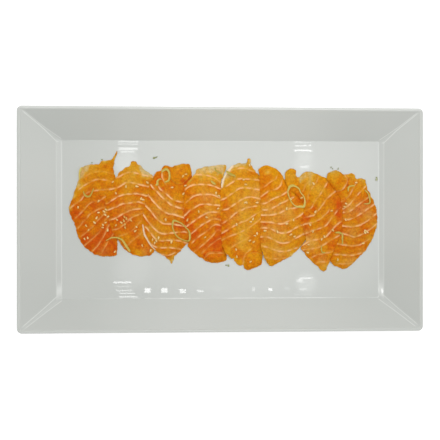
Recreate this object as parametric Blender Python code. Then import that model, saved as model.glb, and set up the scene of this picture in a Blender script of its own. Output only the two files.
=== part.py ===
"""Salmon carpaccio on its long white porcelain platter.

Eight thin slices of raw salmon lie in a row on the flat well of the platter. Each slice rests on the
well with its right part, and its left part climbs over the edge of the slice before it. Thin rings and
strips of spring onion lie on top. +X runs along the platter, +Y across it and +Z up, with the origin
under the middle of the foot. Sizes below are in millimetres; meshes are written in metres.
"""

import math

import bmesh
import bpy
import numpy as np
from mathutils import Vector
from mathutils.bvhtree import BVHTree
from mathutils.geometry import delaunay_2d_cdt

MM = 0.001
GAP = 0.3

# Platter: a flat oblong well inside a wide, straight, sloping rim with mitred corners
PLATTER_LENGTH = 397.0
PLATTER_WIDTH = 220.0
PLATTER_HEIGHT = 24.0
WELL_LENGTH = 322.0
WELL_WIDTH = 157.6
WELL_FLOOR = 7.0
RIM_THICKNESS = 4.2
OUTER_CORNER = 5.0
WELL_CORNER = 4.0
CORNER_STEPS = 5
FOOT_HEIGHT = 3.0

# Salmon slices
SLICE_THICKNESS = 2.0
EDGE_INSET = 1.1
EDGE_SHARE = 0.72
FOLD_HEIGHT = 1.6
FOLD_SOFTNESS = 1.0
CLIMB = SLICE_THICKNESS + GAP + 0.15
CLIMB_FLAT = 4.5
CLIMB_RUN = 8.0
OUTLINE_STEP = 5.2
MESH_STEP = 8.0

# Spring onion
ONION_WIDTH = 2.0
ONION_HEIGHT = 1.3
ONION_STEP = 2.6
ONION_RISE = 0.45

# Each slice's outline, clockwise from its top left, and the part that is folded double on top of it.
# A fold's outline may run past the slice: only what lies on the slice counts.
SLICES = [
    {
        "outline": [
            (-104, 66), (-105, 58), (-105, 43), (-100, 12), (-101, -6), (-103, -20), (-103, -30),
            (-106, -35), (-117, -36), (-131, -30), (-141, -18), (-145, -5), (-152, 10), (-147, 24),
            (-142, 40), (-140, 51), (-132, 55), (-123, 55), (-116, 59), (-108, 61),
        ],
    },
    {
        "outline": [
            (-105, 43), (-100, 49), (-91, 54), (-90, 58), (-86, 58), (-84, 54), (-77, 48), (-69, 43),
            (-64, 30), (-63, 14), (-65, -10), (-68, -31), (-72, -35), (-82, -36), (-95, -30),
            (-102, -20), (-110, -9), (-114, 8), (-116, 21), (-111, 32),
        ],
    },
    {
        "outline": [
            (-68, 42), (-62, 48), (-55, 53), (-46, 54), (-35, 56), (-32, 52), (-30, 44), (-26, 31),
            (-25, 10), (-27, -18), (-36, -24), (-46, -34), (-50, -43), (-55, -38), (-66, -31),
            (-74, -19), (-79, -5), (-78, 8), (-74, 26), (-72, 36),
        ],
        "fold": [(-52, 60), (-52, 46), (-48, 39), (-42, 38), (-34, 46), (-26, 60)],
    },
    {
        "outline": [
            (-29, 44), (-24, 51), (-14, 54), (4, 55), (1, 44), (-1, 35), (6, 22), (10, 0), (9, -18),
            (4, -30), (5, -38), (0, -42), (-13, -42), (-23, -37), (-34, -25), (-32, -17), (-37, -4),
            (-38, 12), (-38, 26), (-35, 37),
        ],
        "fold": [(-16, -48), (-16, -33), (-10, -30), (1, -33), (10, -48)],
    },
    {
        "outline": [
            (-1, 36), (2, 44), (8, 53), (17, 57), (25, 57), (27, 62), (31, 62), (31, 55), (36, 45),
            (45, 28), (49, 5), (46, -15), (40, -27), (40, -43), (33, -48), (28, -51), (21, -46),
            (14, -42), (4, -30), (-1, -20), (-1, -5), (-2, 12), (-2, 24),
        ],
        "fold": [(33, -30), (26, -30), (22, -37), (20, -56), (44, -56), (44, -36)],
    },
    {
        "outline": [
            (37, 44), (37, 50), (43, 54), (49, 53), (58, 47), (62, 40), (72, 31), (82, 21), (89, 5),
            (88, -12), (79, -28), (70, -36), (60, -41), (48, -46), (43, -39), (39, -28), (38, -10),
            (39, 8), (38, 26),
        ],
    },
    {
        "outline": [
            (63, 39), (64, 47), (68, 51), (73, 50), (75, 45), (79, 44), (84, 48), (91, 48), (106, 41),
            (118, 31), (127, 18), (130, 2), (128, -14), (119, -31), (108, -43), (103, -52), (96, -47),
            (78, -29), (84, -20), (82, -11), (79, -3), (81, 6), (82, 14), (77, 23), (67, 32),
        ],
    },
    {
        "outline": [
            (106, 42), (108, 48), (114, 49), (122, 46), (128, 47), (136, 42), (141, 42), (144, 38),
            (145, 33), (149, 25), (156, 11), (157, -4), (152, -19), (143, -32), (130, -47), (123, -50),
            (115, -49), (109, -41), (114, -28), (120, -11), (121, 8), (119, 21), (113, 31), (108, 37),
        ],
        "fold": [(100, 54), (106, 32), (115, 29), (122, 31), (126, 38), (124, 54)],
    },
]

# Spring onion: closed rings, and strips cut from rings, as the middle line of each
ONION_RINGS = {
    "onion_ring_middle": [
        (-48, -1), (-44, -2), (-40, -4), (-36, -8), (-33, -11), (-32, -15), (-32, -19), (-33, -21),
        (-36, -21), (-39, -20), (-43, -18), (-46, -15), (-48, -11), (-49, -8), (-49, -4),
    ],
    "onion_ring_right": [
        (67, 31), (68, 33), (71, 34), (74, 33), (77, 31), (79, 27), (82, 23), (83, 19), (83, 16), (82, 13),
        (79, 13), (75, 13), (72, 15), (69, 19), (67, 24), (66, 28),
    ],
}
ONION_STRIPS = {
    "onion_strip_1": [(-139, 52), (-140, 49), (-141, 46), (-141, 39)],
    "onion_strip_2": [(-137, 28), (-136, 25), (-134, 23), (-131, 23), (-129, 26), (-127, 31)],
    "onion_strip_3": [(-115, -21), (-109, -18), (-103, -18), (-99, -20), (-95, -26), (-91, -32)],
    "onion_strip_4": [(-60, 47), (-58, 49), (-55, 50), (-53, 48), (-52, 44), (-53, 39), (-57, 37)],
    "onion_strip_5": [(-60, 40), (-62, 40), (-64, 38), (-64, 35), (-66, 34)],
    "onion_strip_6": [(-7, 52), (-6, 49), (-3, 47), (0, 46)],
    "onion_strip_7": [(100, -26), (100, -31), (101, -33), (104, -33)],
    "onion_strip_8": [(114, -13), (118, -13), (121, -15), (121, -19), (121, -25)],
    "onion_strip_9": [(127, 28), (127, 31), (128, 33), (131, 34), (134, 34)],
    "onion_strip_10": [(144, 30), (147, 27), (148, 24), (149, 20), (149, 17), (147, 16), (143, 16)],
    "onion_strip_11": [(-11, 39), (-9, 37), (-6, 35)],
    "onion_strip_12": [(4, 49), (6, 47), (9, 45), (12, 44), (14, 43)],
}

PORCELAIN = ("porcelain", (0.62, 0.63, 0.59, 1.0), 0.14)
SALMON = ("salmon", (0.56, 0.19, 0.02, 1.0), 0.35)
ONION = ("spring_onion", (0.55, 0.50, 0.11, 1.0), 0.4)


def clear_objects():
    """Removes whatever the scene holds, so that the model starts empty."""
    for item in list(bpy.data.objects):
        bpy.data.objects.remove(item, do_unlink=True)


def material(name, colour, roughness):
    """A Principled material of one colour, made once and then shared."""
    found = bpy.data.materials.get(name)
    if found:
        return found
    made = bpy.data.materials.new(name)
    made.use_nodes = True
    shader = made.node_tree.nodes["Principled BSDF"]
    shader.inputs["Base Color"].default_value = colour
    shader.inputs["Roughness"].default_value = roughness
    shader.inputs["Metallic"].default_value = 0.0
    made.diffuse_color = colour
    return made


def add_object(name, points, faces, finish, sharp_angle=40.0):
    """A mesh object from points in millimetres, with outward faces and smooth shading."""
    mesh = bpy.data.meshes.new(name)
    mesh.from_pydata([Vector(point) * MM for point in points], [], faces)
    work = bmesh.new()
    work.from_mesh(mesh)
    bmesh.ops.recalc_face_normals(work, faces=work.faces[:])
    work.to_mesh(mesh)
    work.free()
    mesh.materials.append(material(*finish))
    mesh.shade_smooth()
    mesh.set_sharp_from_angle(angle=math.radians(sharp_angle))
    item = bpy.data.objects.new(name, mesh)
    bpy.context.scene.collection.objects.link(item)
    return item


def band(first, second, count, closed=True):
    """Quads that join two rows of the same number of points, given where each row starts."""
    steps = count if closed else count - 1
    return [
        (first + i, first + (i + 1) % count, second + (i + 1) % count, second + i) for i in range(steps)
    ]


# Platter


def rounded_rectangle(half_length, half_width, radius, height):
    """Points round a rectangle with round corners, anticlockwise."""
    corners = [(1, 1, 0.0), (-1, 1, 90.0), (-1, -1, 180.0), (1, -1, 270.0)]
    points = []
    for side_x, side_y, start in corners:
        for step in range(CORNER_STEPS + 1):
            turn = math.radians(start + 90.0 * step / CORNER_STEPS)
            x = side_x * (half_length - radius) + radius * math.cos(turn)
            y = side_y * (half_width - radius) + radius * math.sin(turn)
            points.append((x, y, height))
    return points


def platter_profile():
    """How far in from the outer edge, as a share of the rim's width, and how high: from the middle of
    the well over the rim and back under it to the recess inside the foot."""
    rim_foot = WELL_FLOOR + 1.3
    rim_head = PLATTER_HEIGHT - 0.5
    under = RIM_THICKNESS + 0.3
    return [
        (1.15, WELL_FLOOR),
        (1.05, WELL_FLOOR + 0.2),
        (0.96, rim_foot),
        (0.06, rim_head),
        (0.03, PLATTER_HEIGHT),
        (0.005, PLATTER_HEIGHT - 0.6),
        (0.0, PLATTER_HEIGHT - 1.6),
        (0.02, PLATTER_HEIGHT - 3.2),
        (0.08, rim_head - under),
        (0.97, rim_foot - under + 0.4),
        (1.06, FOOT_HEIGHT + 0.2),
        (1.10, 0.5),
        (1.12, 0.0),
        (1.26, 0.0),
        (1.28, 0.5),
        (1.32, FOOT_HEIGHT),
    ]


def make_platter():
    """The platter as loops of one profile carried round a rounded rectangle, closed in the middle."""
    rim_length = (PLATTER_LENGTH - WELL_LENGTH) / 2
    rim_width = (PLATTER_WIDTH - WELL_WIDTH) / 2
    points = []
    faces = []
    profile = platter_profile()
    for inset, height in profile:
        radius = OUTER_CORNER + (WELL_CORNER - OUTER_CORNER) * min(inset, 1.0)
        points += rounded_rectangle(
            PLATTER_LENGTH / 2 - inset * rim_length, PLATTER_WIDTH / 2 - inset * rim_width, radius, height
        )
    count = 4 * (CORNER_STEPS + 1)
    for loop in range(len(profile) - 1):
        faces += band(loop * count, (loop + 1) * count, count)
    last = (len(profile) - 1) * count
    faces.append(tuple(range(count)))
    faces.append(tuple(range(last, last + count)))
    return add_object("platter", points, faces, PORCELAIN, sharp_angle=50.0)


# Smooth lines and distances


def smooth_line(corners, step, closed):
    """Points about one step apart on the smooth curve through the corners."""
    corners = np.array(corners, float)
    count = len(corners)
    if closed:
        ends = [corners[-1], *corners, corners[0], corners[1]]
    else:
        ends = [2 * corners[0] - corners[1], *corners, 2 * corners[-1] - corners[-2]]
    points = []
    for i in range(count if closed else count - 1):
        before, start, end, after = ends[i : i + 4]
        length = np.linalg.norm(end - start)
        knots = np.sqrt([max(np.linalg.norm(start - before), 1.0), length, np.linalg.norm(after - end)])
        leave = (start - before) / knots[0] - (end - before) / (knots[0] + knots[1])
        leave = (leave + (end - start) / knots[1]) * knots[1]
        arrive = (end - start) / knots[1] - (after - start) / (knots[1] + knots[2])
        arrive = (arrive + (after - end) / max(knots[2], 1.0)) * knots[1]
        pieces = max(1, round(length / step))
        for t in np.arange(pieces) / pieces:
            points.append(
                (2 * t**3 - 3 * t**2 + 1) * start
                + (t**3 - 2 * t**2 + t) * leave
                + (3 * t**2 - 2 * t**3) * end
                + (t**3 - t**2) * arrive
            )
    if not closed:
        points.append(corners[-1])
    return np.array(points)


def depth_inside(outline, points):
    """How far each point lies inside a closed outline; negative outside."""
    points = np.atleast_2d(np.array(points, float))
    starts = outline
    ends = np.roll(outline, -1, axis=0)
    nearest = np.full(len(points), np.inf)
    inside = np.zeros(len(points), bool)
    for start, end in zip(starts, ends):
        along = end - start
        share = np.clip((points - start) @ along / max(along @ along, 1e-9), 0, 1)
        nearest = np.minimum(nearest, np.linalg.norm(points - start - share[:, None] * along, axis=1))
        crosses = (start[1] > points[:, 1]) != (end[1] > points[:, 1])
        with np.errstate(divide="ignore", invalid="ignore"):
            meets = start[0] + (points[:, 1] - start[1]) * along[0] / along[1]
        inside ^= crosses & (points[:, 0] < meets)
    return np.where(inside, nearest, -nearest)


def move_in(outline, distance):
    """A clockwise outline moved inwards along its normals."""
    along = np.roll(outline, -1, axis=0) - np.roll(outline, 1, axis=0)
    along /= np.linalg.norm(along, axis=1)[:, None]
    inward = np.stack([along[:, 1], -along[:, 0]], axis=1)
    return outline + inward * np.reshape(distance, (-1, 1))


def inner_ring(outline, distance):
    """The outline moved inwards, but less where the shape is too narrow for that."""
    amount = np.full(len(outline), distance)
    for _ in range(5):
        narrow = depth_inside(outline, move_in(outline, 2 * amount)) < 1.6 * amount
        amount[narrow] *= 0.6
    return move_in(outline, amount)


def ease(value):
    """A smooth step from 0 to 1."""
    value = np.clip(value, 0, 1)
    return value * value * (3 - 2 * value)


# Salmon


def base_height(points, under):
    """The underside of a slice: just above the well, or climbing over the slice under it."""
    base = np.full(len(points), WELL_FLOOR + GAP)
    if under is not None:
        away = -depth_inside(under, points)
        base += CLIMB * (1 - ease((away - CLIMB_FLAT) / CLIMB_RUN))
    return base


def fold_share(points, fold):
    """1 where the slice is folded double, 0 where it isn't."""
    if fold is None:
        return np.zeros(len(points))
    return ease(0.5 + depth_inside(fold, points) / (2 * FOLD_SOFTNESS))


def inner_points(ring, fold):
    """Points for the broad face of a slice: an even triangular grid, and two rows along a fold."""
    kept = []
    if fold is not None:
        for offset in (-FOLD_SOFTNESS, FOLD_SOFTNESS):
            kept += list(move_in(fold, offset))
    row_height = MESH_STEP * math.sqrt(3) / 2
    low = ring.min(axis=0)
    high = ring.max(axis=0)
    for row, y in enumerate(np.arange(low[1], high[1], row_height)):
        shift = MESH_STEP / 2 * (row % 2)
        for x in np.arange(low[0] + shift, high[0], MESH_STEP):
            spot = np.array([x, y])
            if all(np.linalg.norm(spot - other) > 0.45 * MESH_STEP for other in kept[: len(fold or ()) * 2]):
                kept.append(spot)
    kept = np.array(kept)
    return kept[depth_inside(ring, kept) > 0.35 * MESH_STEP]


def triangulate(ring, inner):
    """Triangles over a ring and the points in it, as indices into both together."""
    count = len(ring)
    points = [Vector(point) for point in [*ring, *inner]]
    border = list(range(count))[::-1]
    made = delaunay_2d_cdt(points, [], [border], 1, 1e-5)
    source = [origin[0] for origin in made[3]]
    return [tuple(source[corner] for corner in face) for face in made[2]]


def make_slice(name, shape, under):
    """One slice: broad faces above and below, and an edge that thins and rounds over."""
    outline = smooth_line(shape["outline"], OUTLINE_STEP, closed=True)
    fold = smooth_line(shape["fold"], OUTLINE_STEP, closed=True) if "fold" in shape else None
    ring = inner_ring(outline, EDGE_INSET)
    inner = inner_points(ring, list(fold) if fold is not None else None)
    broad = np.concatenate([ring, inner])
    base = base_height(broad, under)
    share = np.concatenate([np.full(len(ring), EDGE_SHARE), np.ones(len(inner))])
    top = base + SLICE_THICKNESS * share + FOLD_HEIGHT * fold_share(broad, fold)
    edge_height = base_height(outline, under) + SLICE_THICKNESS * 0.4
    points = [(*spot, z) for spot, z in zip(broad, base)]
    points += [(*spot, z) for spot, z in zip(broad, top)]
    points += [(*spot, z) for spot, z in zip(outline, edge_height)]
    size = len(broad)
    count = len(outline)
    faces = []
    for face in triangulate(ring, inner):
        faces.append(face[::-1])
        faces.append(tuple(corner + size for corner in face))
    faces += band(0, 2 * size, count)
    faces += band(2 * size, size, count)
    return add_object(name, points, faces, SALMON), outline


def make_salmon():
    """All the slices, each over the one before it."""
    made = []
    under = None
    for number, shape in enumerate(SLICES, start=1):
        item, under = make_slice(f"slice_{number}", shape, under)
        made.append(item)
    return made


# Spring onion


def tree_of(items):
    """A search tree over the surfaces of some objects, to find what lies under a point."""
    points = []
    faces = []
    for item in items:
        start = len(points)
        points += [vertex.co for vertex in item.data.vertices]
        faces += [tuple(start + corner for corner in face.vertices) for face in item.data.polygons]
    return BVHTree.FromPolygons(points, faces)


def height_under(tree, x, y):
    """The highest surface under a point, in millimetres."""
    hit = tree.ray_cast(Vector((x, y, 2 * PLATTER_HEIGHT)) * MM, Vector((0, 0, -1)))
    return hit[0].z / MM if hit[0] else WELL_FLOOR


def resting_height(tree, spot, reach):
    """The highest surface near a point, so that what rests there clears it."""
    offsets = [(0, 0), (reach, 0), (-reach, 0), (0, reach), (0, -reach)]
    return max(height_under(tree, spot[0] + dx, spot[1] + dy) for dx, dy in offsets)


def make_onion(name, corners, closed, tree):
    """A strip or ring of spring onion: a flattened six-sided bar that follows what it lies on."""
    line = smooth_line(corners, ONION_STEP, closed)
    count = len(line)
    if closed:
        along = np.roll(line, -1, axis=0) - np.roll(line, 1, axis=0)
    else:
        along = np.gradient(line, axis=0)
    along /= np.linalg.norm(along, axis=1)[:, None]
    across = np.stack([along[:, 1], -along[:, 0]], axis=1)
    half = ONION_WIDTH / 2
    section = [(1, 0.4), (0.55, 1), (-0.55, 1), (-1, 0.4), (-0.55, 0), (0.55, 0)]
    sides = len(section)
    points = []
    for i, spot in enumerate(line):
        end = not closed and i in (0, count - 1)
        width = half * (0.55 if end else 1.0)
        base = resting_height(tree, spot, 1.8 * half) + ONION_RISE
        for side, rise in section:
            place = spot + across[i] * side * width
            points.append((*place, base + rise * ONION_HEIGHT))
    faces = []
    for i in range(count if closed else count - 1):
        after = (i + 1) % count
        for side in range(sides):
            beside = (side + 1) % sides
            faces.append((i * sides + side, i * sides + beside, after * sides + beside, after * sides + side))
    if not closed:
        faces.append(tuple(range(sides)))
        faces.append(tuple(range((count - 1) * sides, count * sides)))
    return add_object(name, points, faces, ONION, sharp_angle=80.0)


def main():
    clear_objects()
    make_platter()
    tree = tree_of(make_salmon())
    for name, corners in ONION_RINGS.items():
        make_onion(name, corners, True, tree)
    for name, corners in ONION_STRIPS.items():
        make_onion(name, corners, False, tree)


main()
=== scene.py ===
"""Looks of the salmon carpaccio on its long white porcelain platter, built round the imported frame.

Eight thin slices of raw salmon lie in a row on the platter, each over the edge of the one before it.
Thin rings and strips of spring onion and about a hundred sesame seeds lie on top. Sizes are in
millimetres in the frame's axes, +X along the platter, +Y across it and +Z up; meshes are in metres.
"""

import math

import bmesh
import bpy
import numpy as np
from mathutils import Matrix, Vector
from mathutils.geometry import delaunay_2d_cdt


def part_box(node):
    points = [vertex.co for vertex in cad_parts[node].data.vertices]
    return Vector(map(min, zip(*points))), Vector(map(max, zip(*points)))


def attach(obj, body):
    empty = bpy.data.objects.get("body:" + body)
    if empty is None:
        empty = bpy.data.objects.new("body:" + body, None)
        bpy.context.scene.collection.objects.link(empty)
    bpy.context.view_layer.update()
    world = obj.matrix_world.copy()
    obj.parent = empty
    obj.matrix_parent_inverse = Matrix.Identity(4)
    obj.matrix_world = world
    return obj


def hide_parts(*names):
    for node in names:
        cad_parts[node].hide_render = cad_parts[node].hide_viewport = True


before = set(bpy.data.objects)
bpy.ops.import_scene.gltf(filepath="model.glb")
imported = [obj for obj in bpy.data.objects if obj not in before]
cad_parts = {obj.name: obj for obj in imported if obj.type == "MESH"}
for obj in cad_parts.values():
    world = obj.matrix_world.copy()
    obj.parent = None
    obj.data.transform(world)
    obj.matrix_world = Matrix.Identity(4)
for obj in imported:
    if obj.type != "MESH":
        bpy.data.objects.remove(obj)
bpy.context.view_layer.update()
MM = 0.001
BODY = "root"

# Camera: it looks straight down from a little left of the middle
CAMERA_PLACE = Vector((-29.0, 0.5, 650.0)) * MM
CAMERA_TARGET = Vector((-1.8, -0.4, 7.0)) * MM
LENS = 52.6
SENSOR_WIDTH = 36.0

# Platter
LOW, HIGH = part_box("platter")
PLATTER_LENGTH = (HIGH.x - LOW.x) / MM
PLATTER_WIDTH = (HIGH.y - LOW.y) / MM
PLATTER_HEIGHT = HIGH.z / MM
WELL_LENGTH = 322.0
WELL_WIDTH = 157.6
WELL_FLOOR = 7.0
RIM_LENGTH = (PLATTER_LENGTH - WELL_LENGTH) / 2
RIM_WIDTH = (PLATTER_WIDTH - WELL_WIDTH) / 2
RIM_THICKNESS = 4.2
LIP_DROP = 0.6
LIP_TURN = 1.3
FOOT_HEIGHT = 3.0
CORNER_STEPS = 14
LONG_SIDE_STEPS = 64
SHORT_SIDE_STEPS = 44
CREASE_RIDGE = 0.10
CREASE_WIDTH = 0.45
UNEVENNESS = 0.02
UNEVEN_LENGTH = 85.0

# Places on the platter's profile, as shares of the rim's width in from the outer edge: the lip's inner
# edge, the upper and lower edge of the bevel at the foot of the rim, and the loops between them. The
# bevel is wide at the platter's two ends and narrow along its long sides.
LIP_SHARE = 0.095
LIP_FOOT = 0.115
BEVEL_TOP = 0.927
BEVEL_FOOT = 1.058
BEVEL_HEIGHT = 1.2
BEVEL_ROUND = 0.010
LONG_BEVEL_TOP = 0.932
LONG_BEVEL_FOOT = 1.0
WELL_SHARES = (3.35, 3.1, 2.8, 2.5, 2.2, 1.9, 1.6, 1.35, 1.18, 1.12)
RIM_SHARES = (0.88, 0.84, 0.76, 0.64, 0.52, 0.40, 0.29, 0.20, 0.145, LIP_FOOT)
UNDER_SHARES = (0.3, 0.6, 0.93)

# The corners' radii at CORNER_PLACES on the profile. They leave a narrow facet down each mitre, wider
# towards its foot and wider at the two front corners.
CORNER_PLACES = (0.0, LIP_SHARE, 0.6, BEVEL_TOP, BEVEL_FOOT, 4.0)
BACK_CORNERS = (5.0, 0.6, 1.0, 3.5, 1.5, 1.5)
FRONT_CORNERS = (5.0, 1.9, 2.8, 4.3, 1.5, 1.5)

# How much highlight and shade is painted into the glaze on the platter's edges
MITRE_HIGHLIGHT = 0.6
END_BEVEL_HIGHLIGHT = 0.25
END_BEVEL_SHADE = 0.12
CORNER_HIGHLIGHT = 0.5
CORNER_HIGHLIGHT_PLACE = 9.0
CORNER_HIGHLIGHT_REACH = 7.0
FOOT_HIGHLIGHT_BACK = 0.25
FOOT_HIGHLIGHT_FRONT = 0.80
LIP_HIGHLIGHTS = {"back": 0.4, "right": 0.05, "left": 0.05, "front": 0.12}
LIP_SHADES = {"back": 0.0, "right": 0.0, "left": 0.6, "front": 0.6}

# Salmon slices
SLICE_THICKNESS = 2.0
UNEVEN_THICKNESS = 0.08
UNEVEN_TOP = 0.12
RAGGED_WIDE = 0.30
RAGGED_FINE = 0.14
EDGE_ROUND = 1.5
EDGE_THICKNESS = 0.3
EDGE_LIFT = 0.12
EDGE_RINGS = (0.22, 0.55, 1.0, 1.5)
EDGE_CURL = 0.15
CURL_REACH = 2.5
EDGE_TAPER_FREE = 0.4
EDGE_TAPER_OVER = 0.3
EDGE_TAPER_REACH = 6.0
OUTLINE_STEP = 0.8
GRID_STEP = 0.95
FOLD_HEIGHT = 1.4
FOLD_ROUND = 2.0
FOLD_RISE = 4.0
SHEET_FLAT = 3
SHEET_REACH = 9
SHEET_BEND = 0.045
SHEET_BLURS = 4
PILE_GAP = 0.08
PILE_LOW = (-170.0, -75.0)
PILE_CELLS = (151, 341)
FLAKE_RELIEF = 0.16

# Lines of fat: how loosely the bent plate follows them, how far past its ends a line goes on and fades,
# and how strong lines are on average and how much that changes along them
FAT_SLACK = 2e-3
FAT_SCALE = 30.0
FAT_END = 1.5
FAT_END_FADE = 4.0
FAT_STRENGTH = 0.76
FAT_CHANGE = 0.42
LINES_APART = 16

# Soft spots of colour, how much a red one counts, and the heights above the well from which a slice
# counts as lying over another
SPOT_SIZE = 0.85
SPOT_UNEVENNESS = 0.3
RED_STRENGTH = 1.5
OVER_FROM = 0.3
OVER_FADE = 1.0
NO_FOLD = -50.0
FOOD_SHIFT = (0.4, -0.5)
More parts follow.
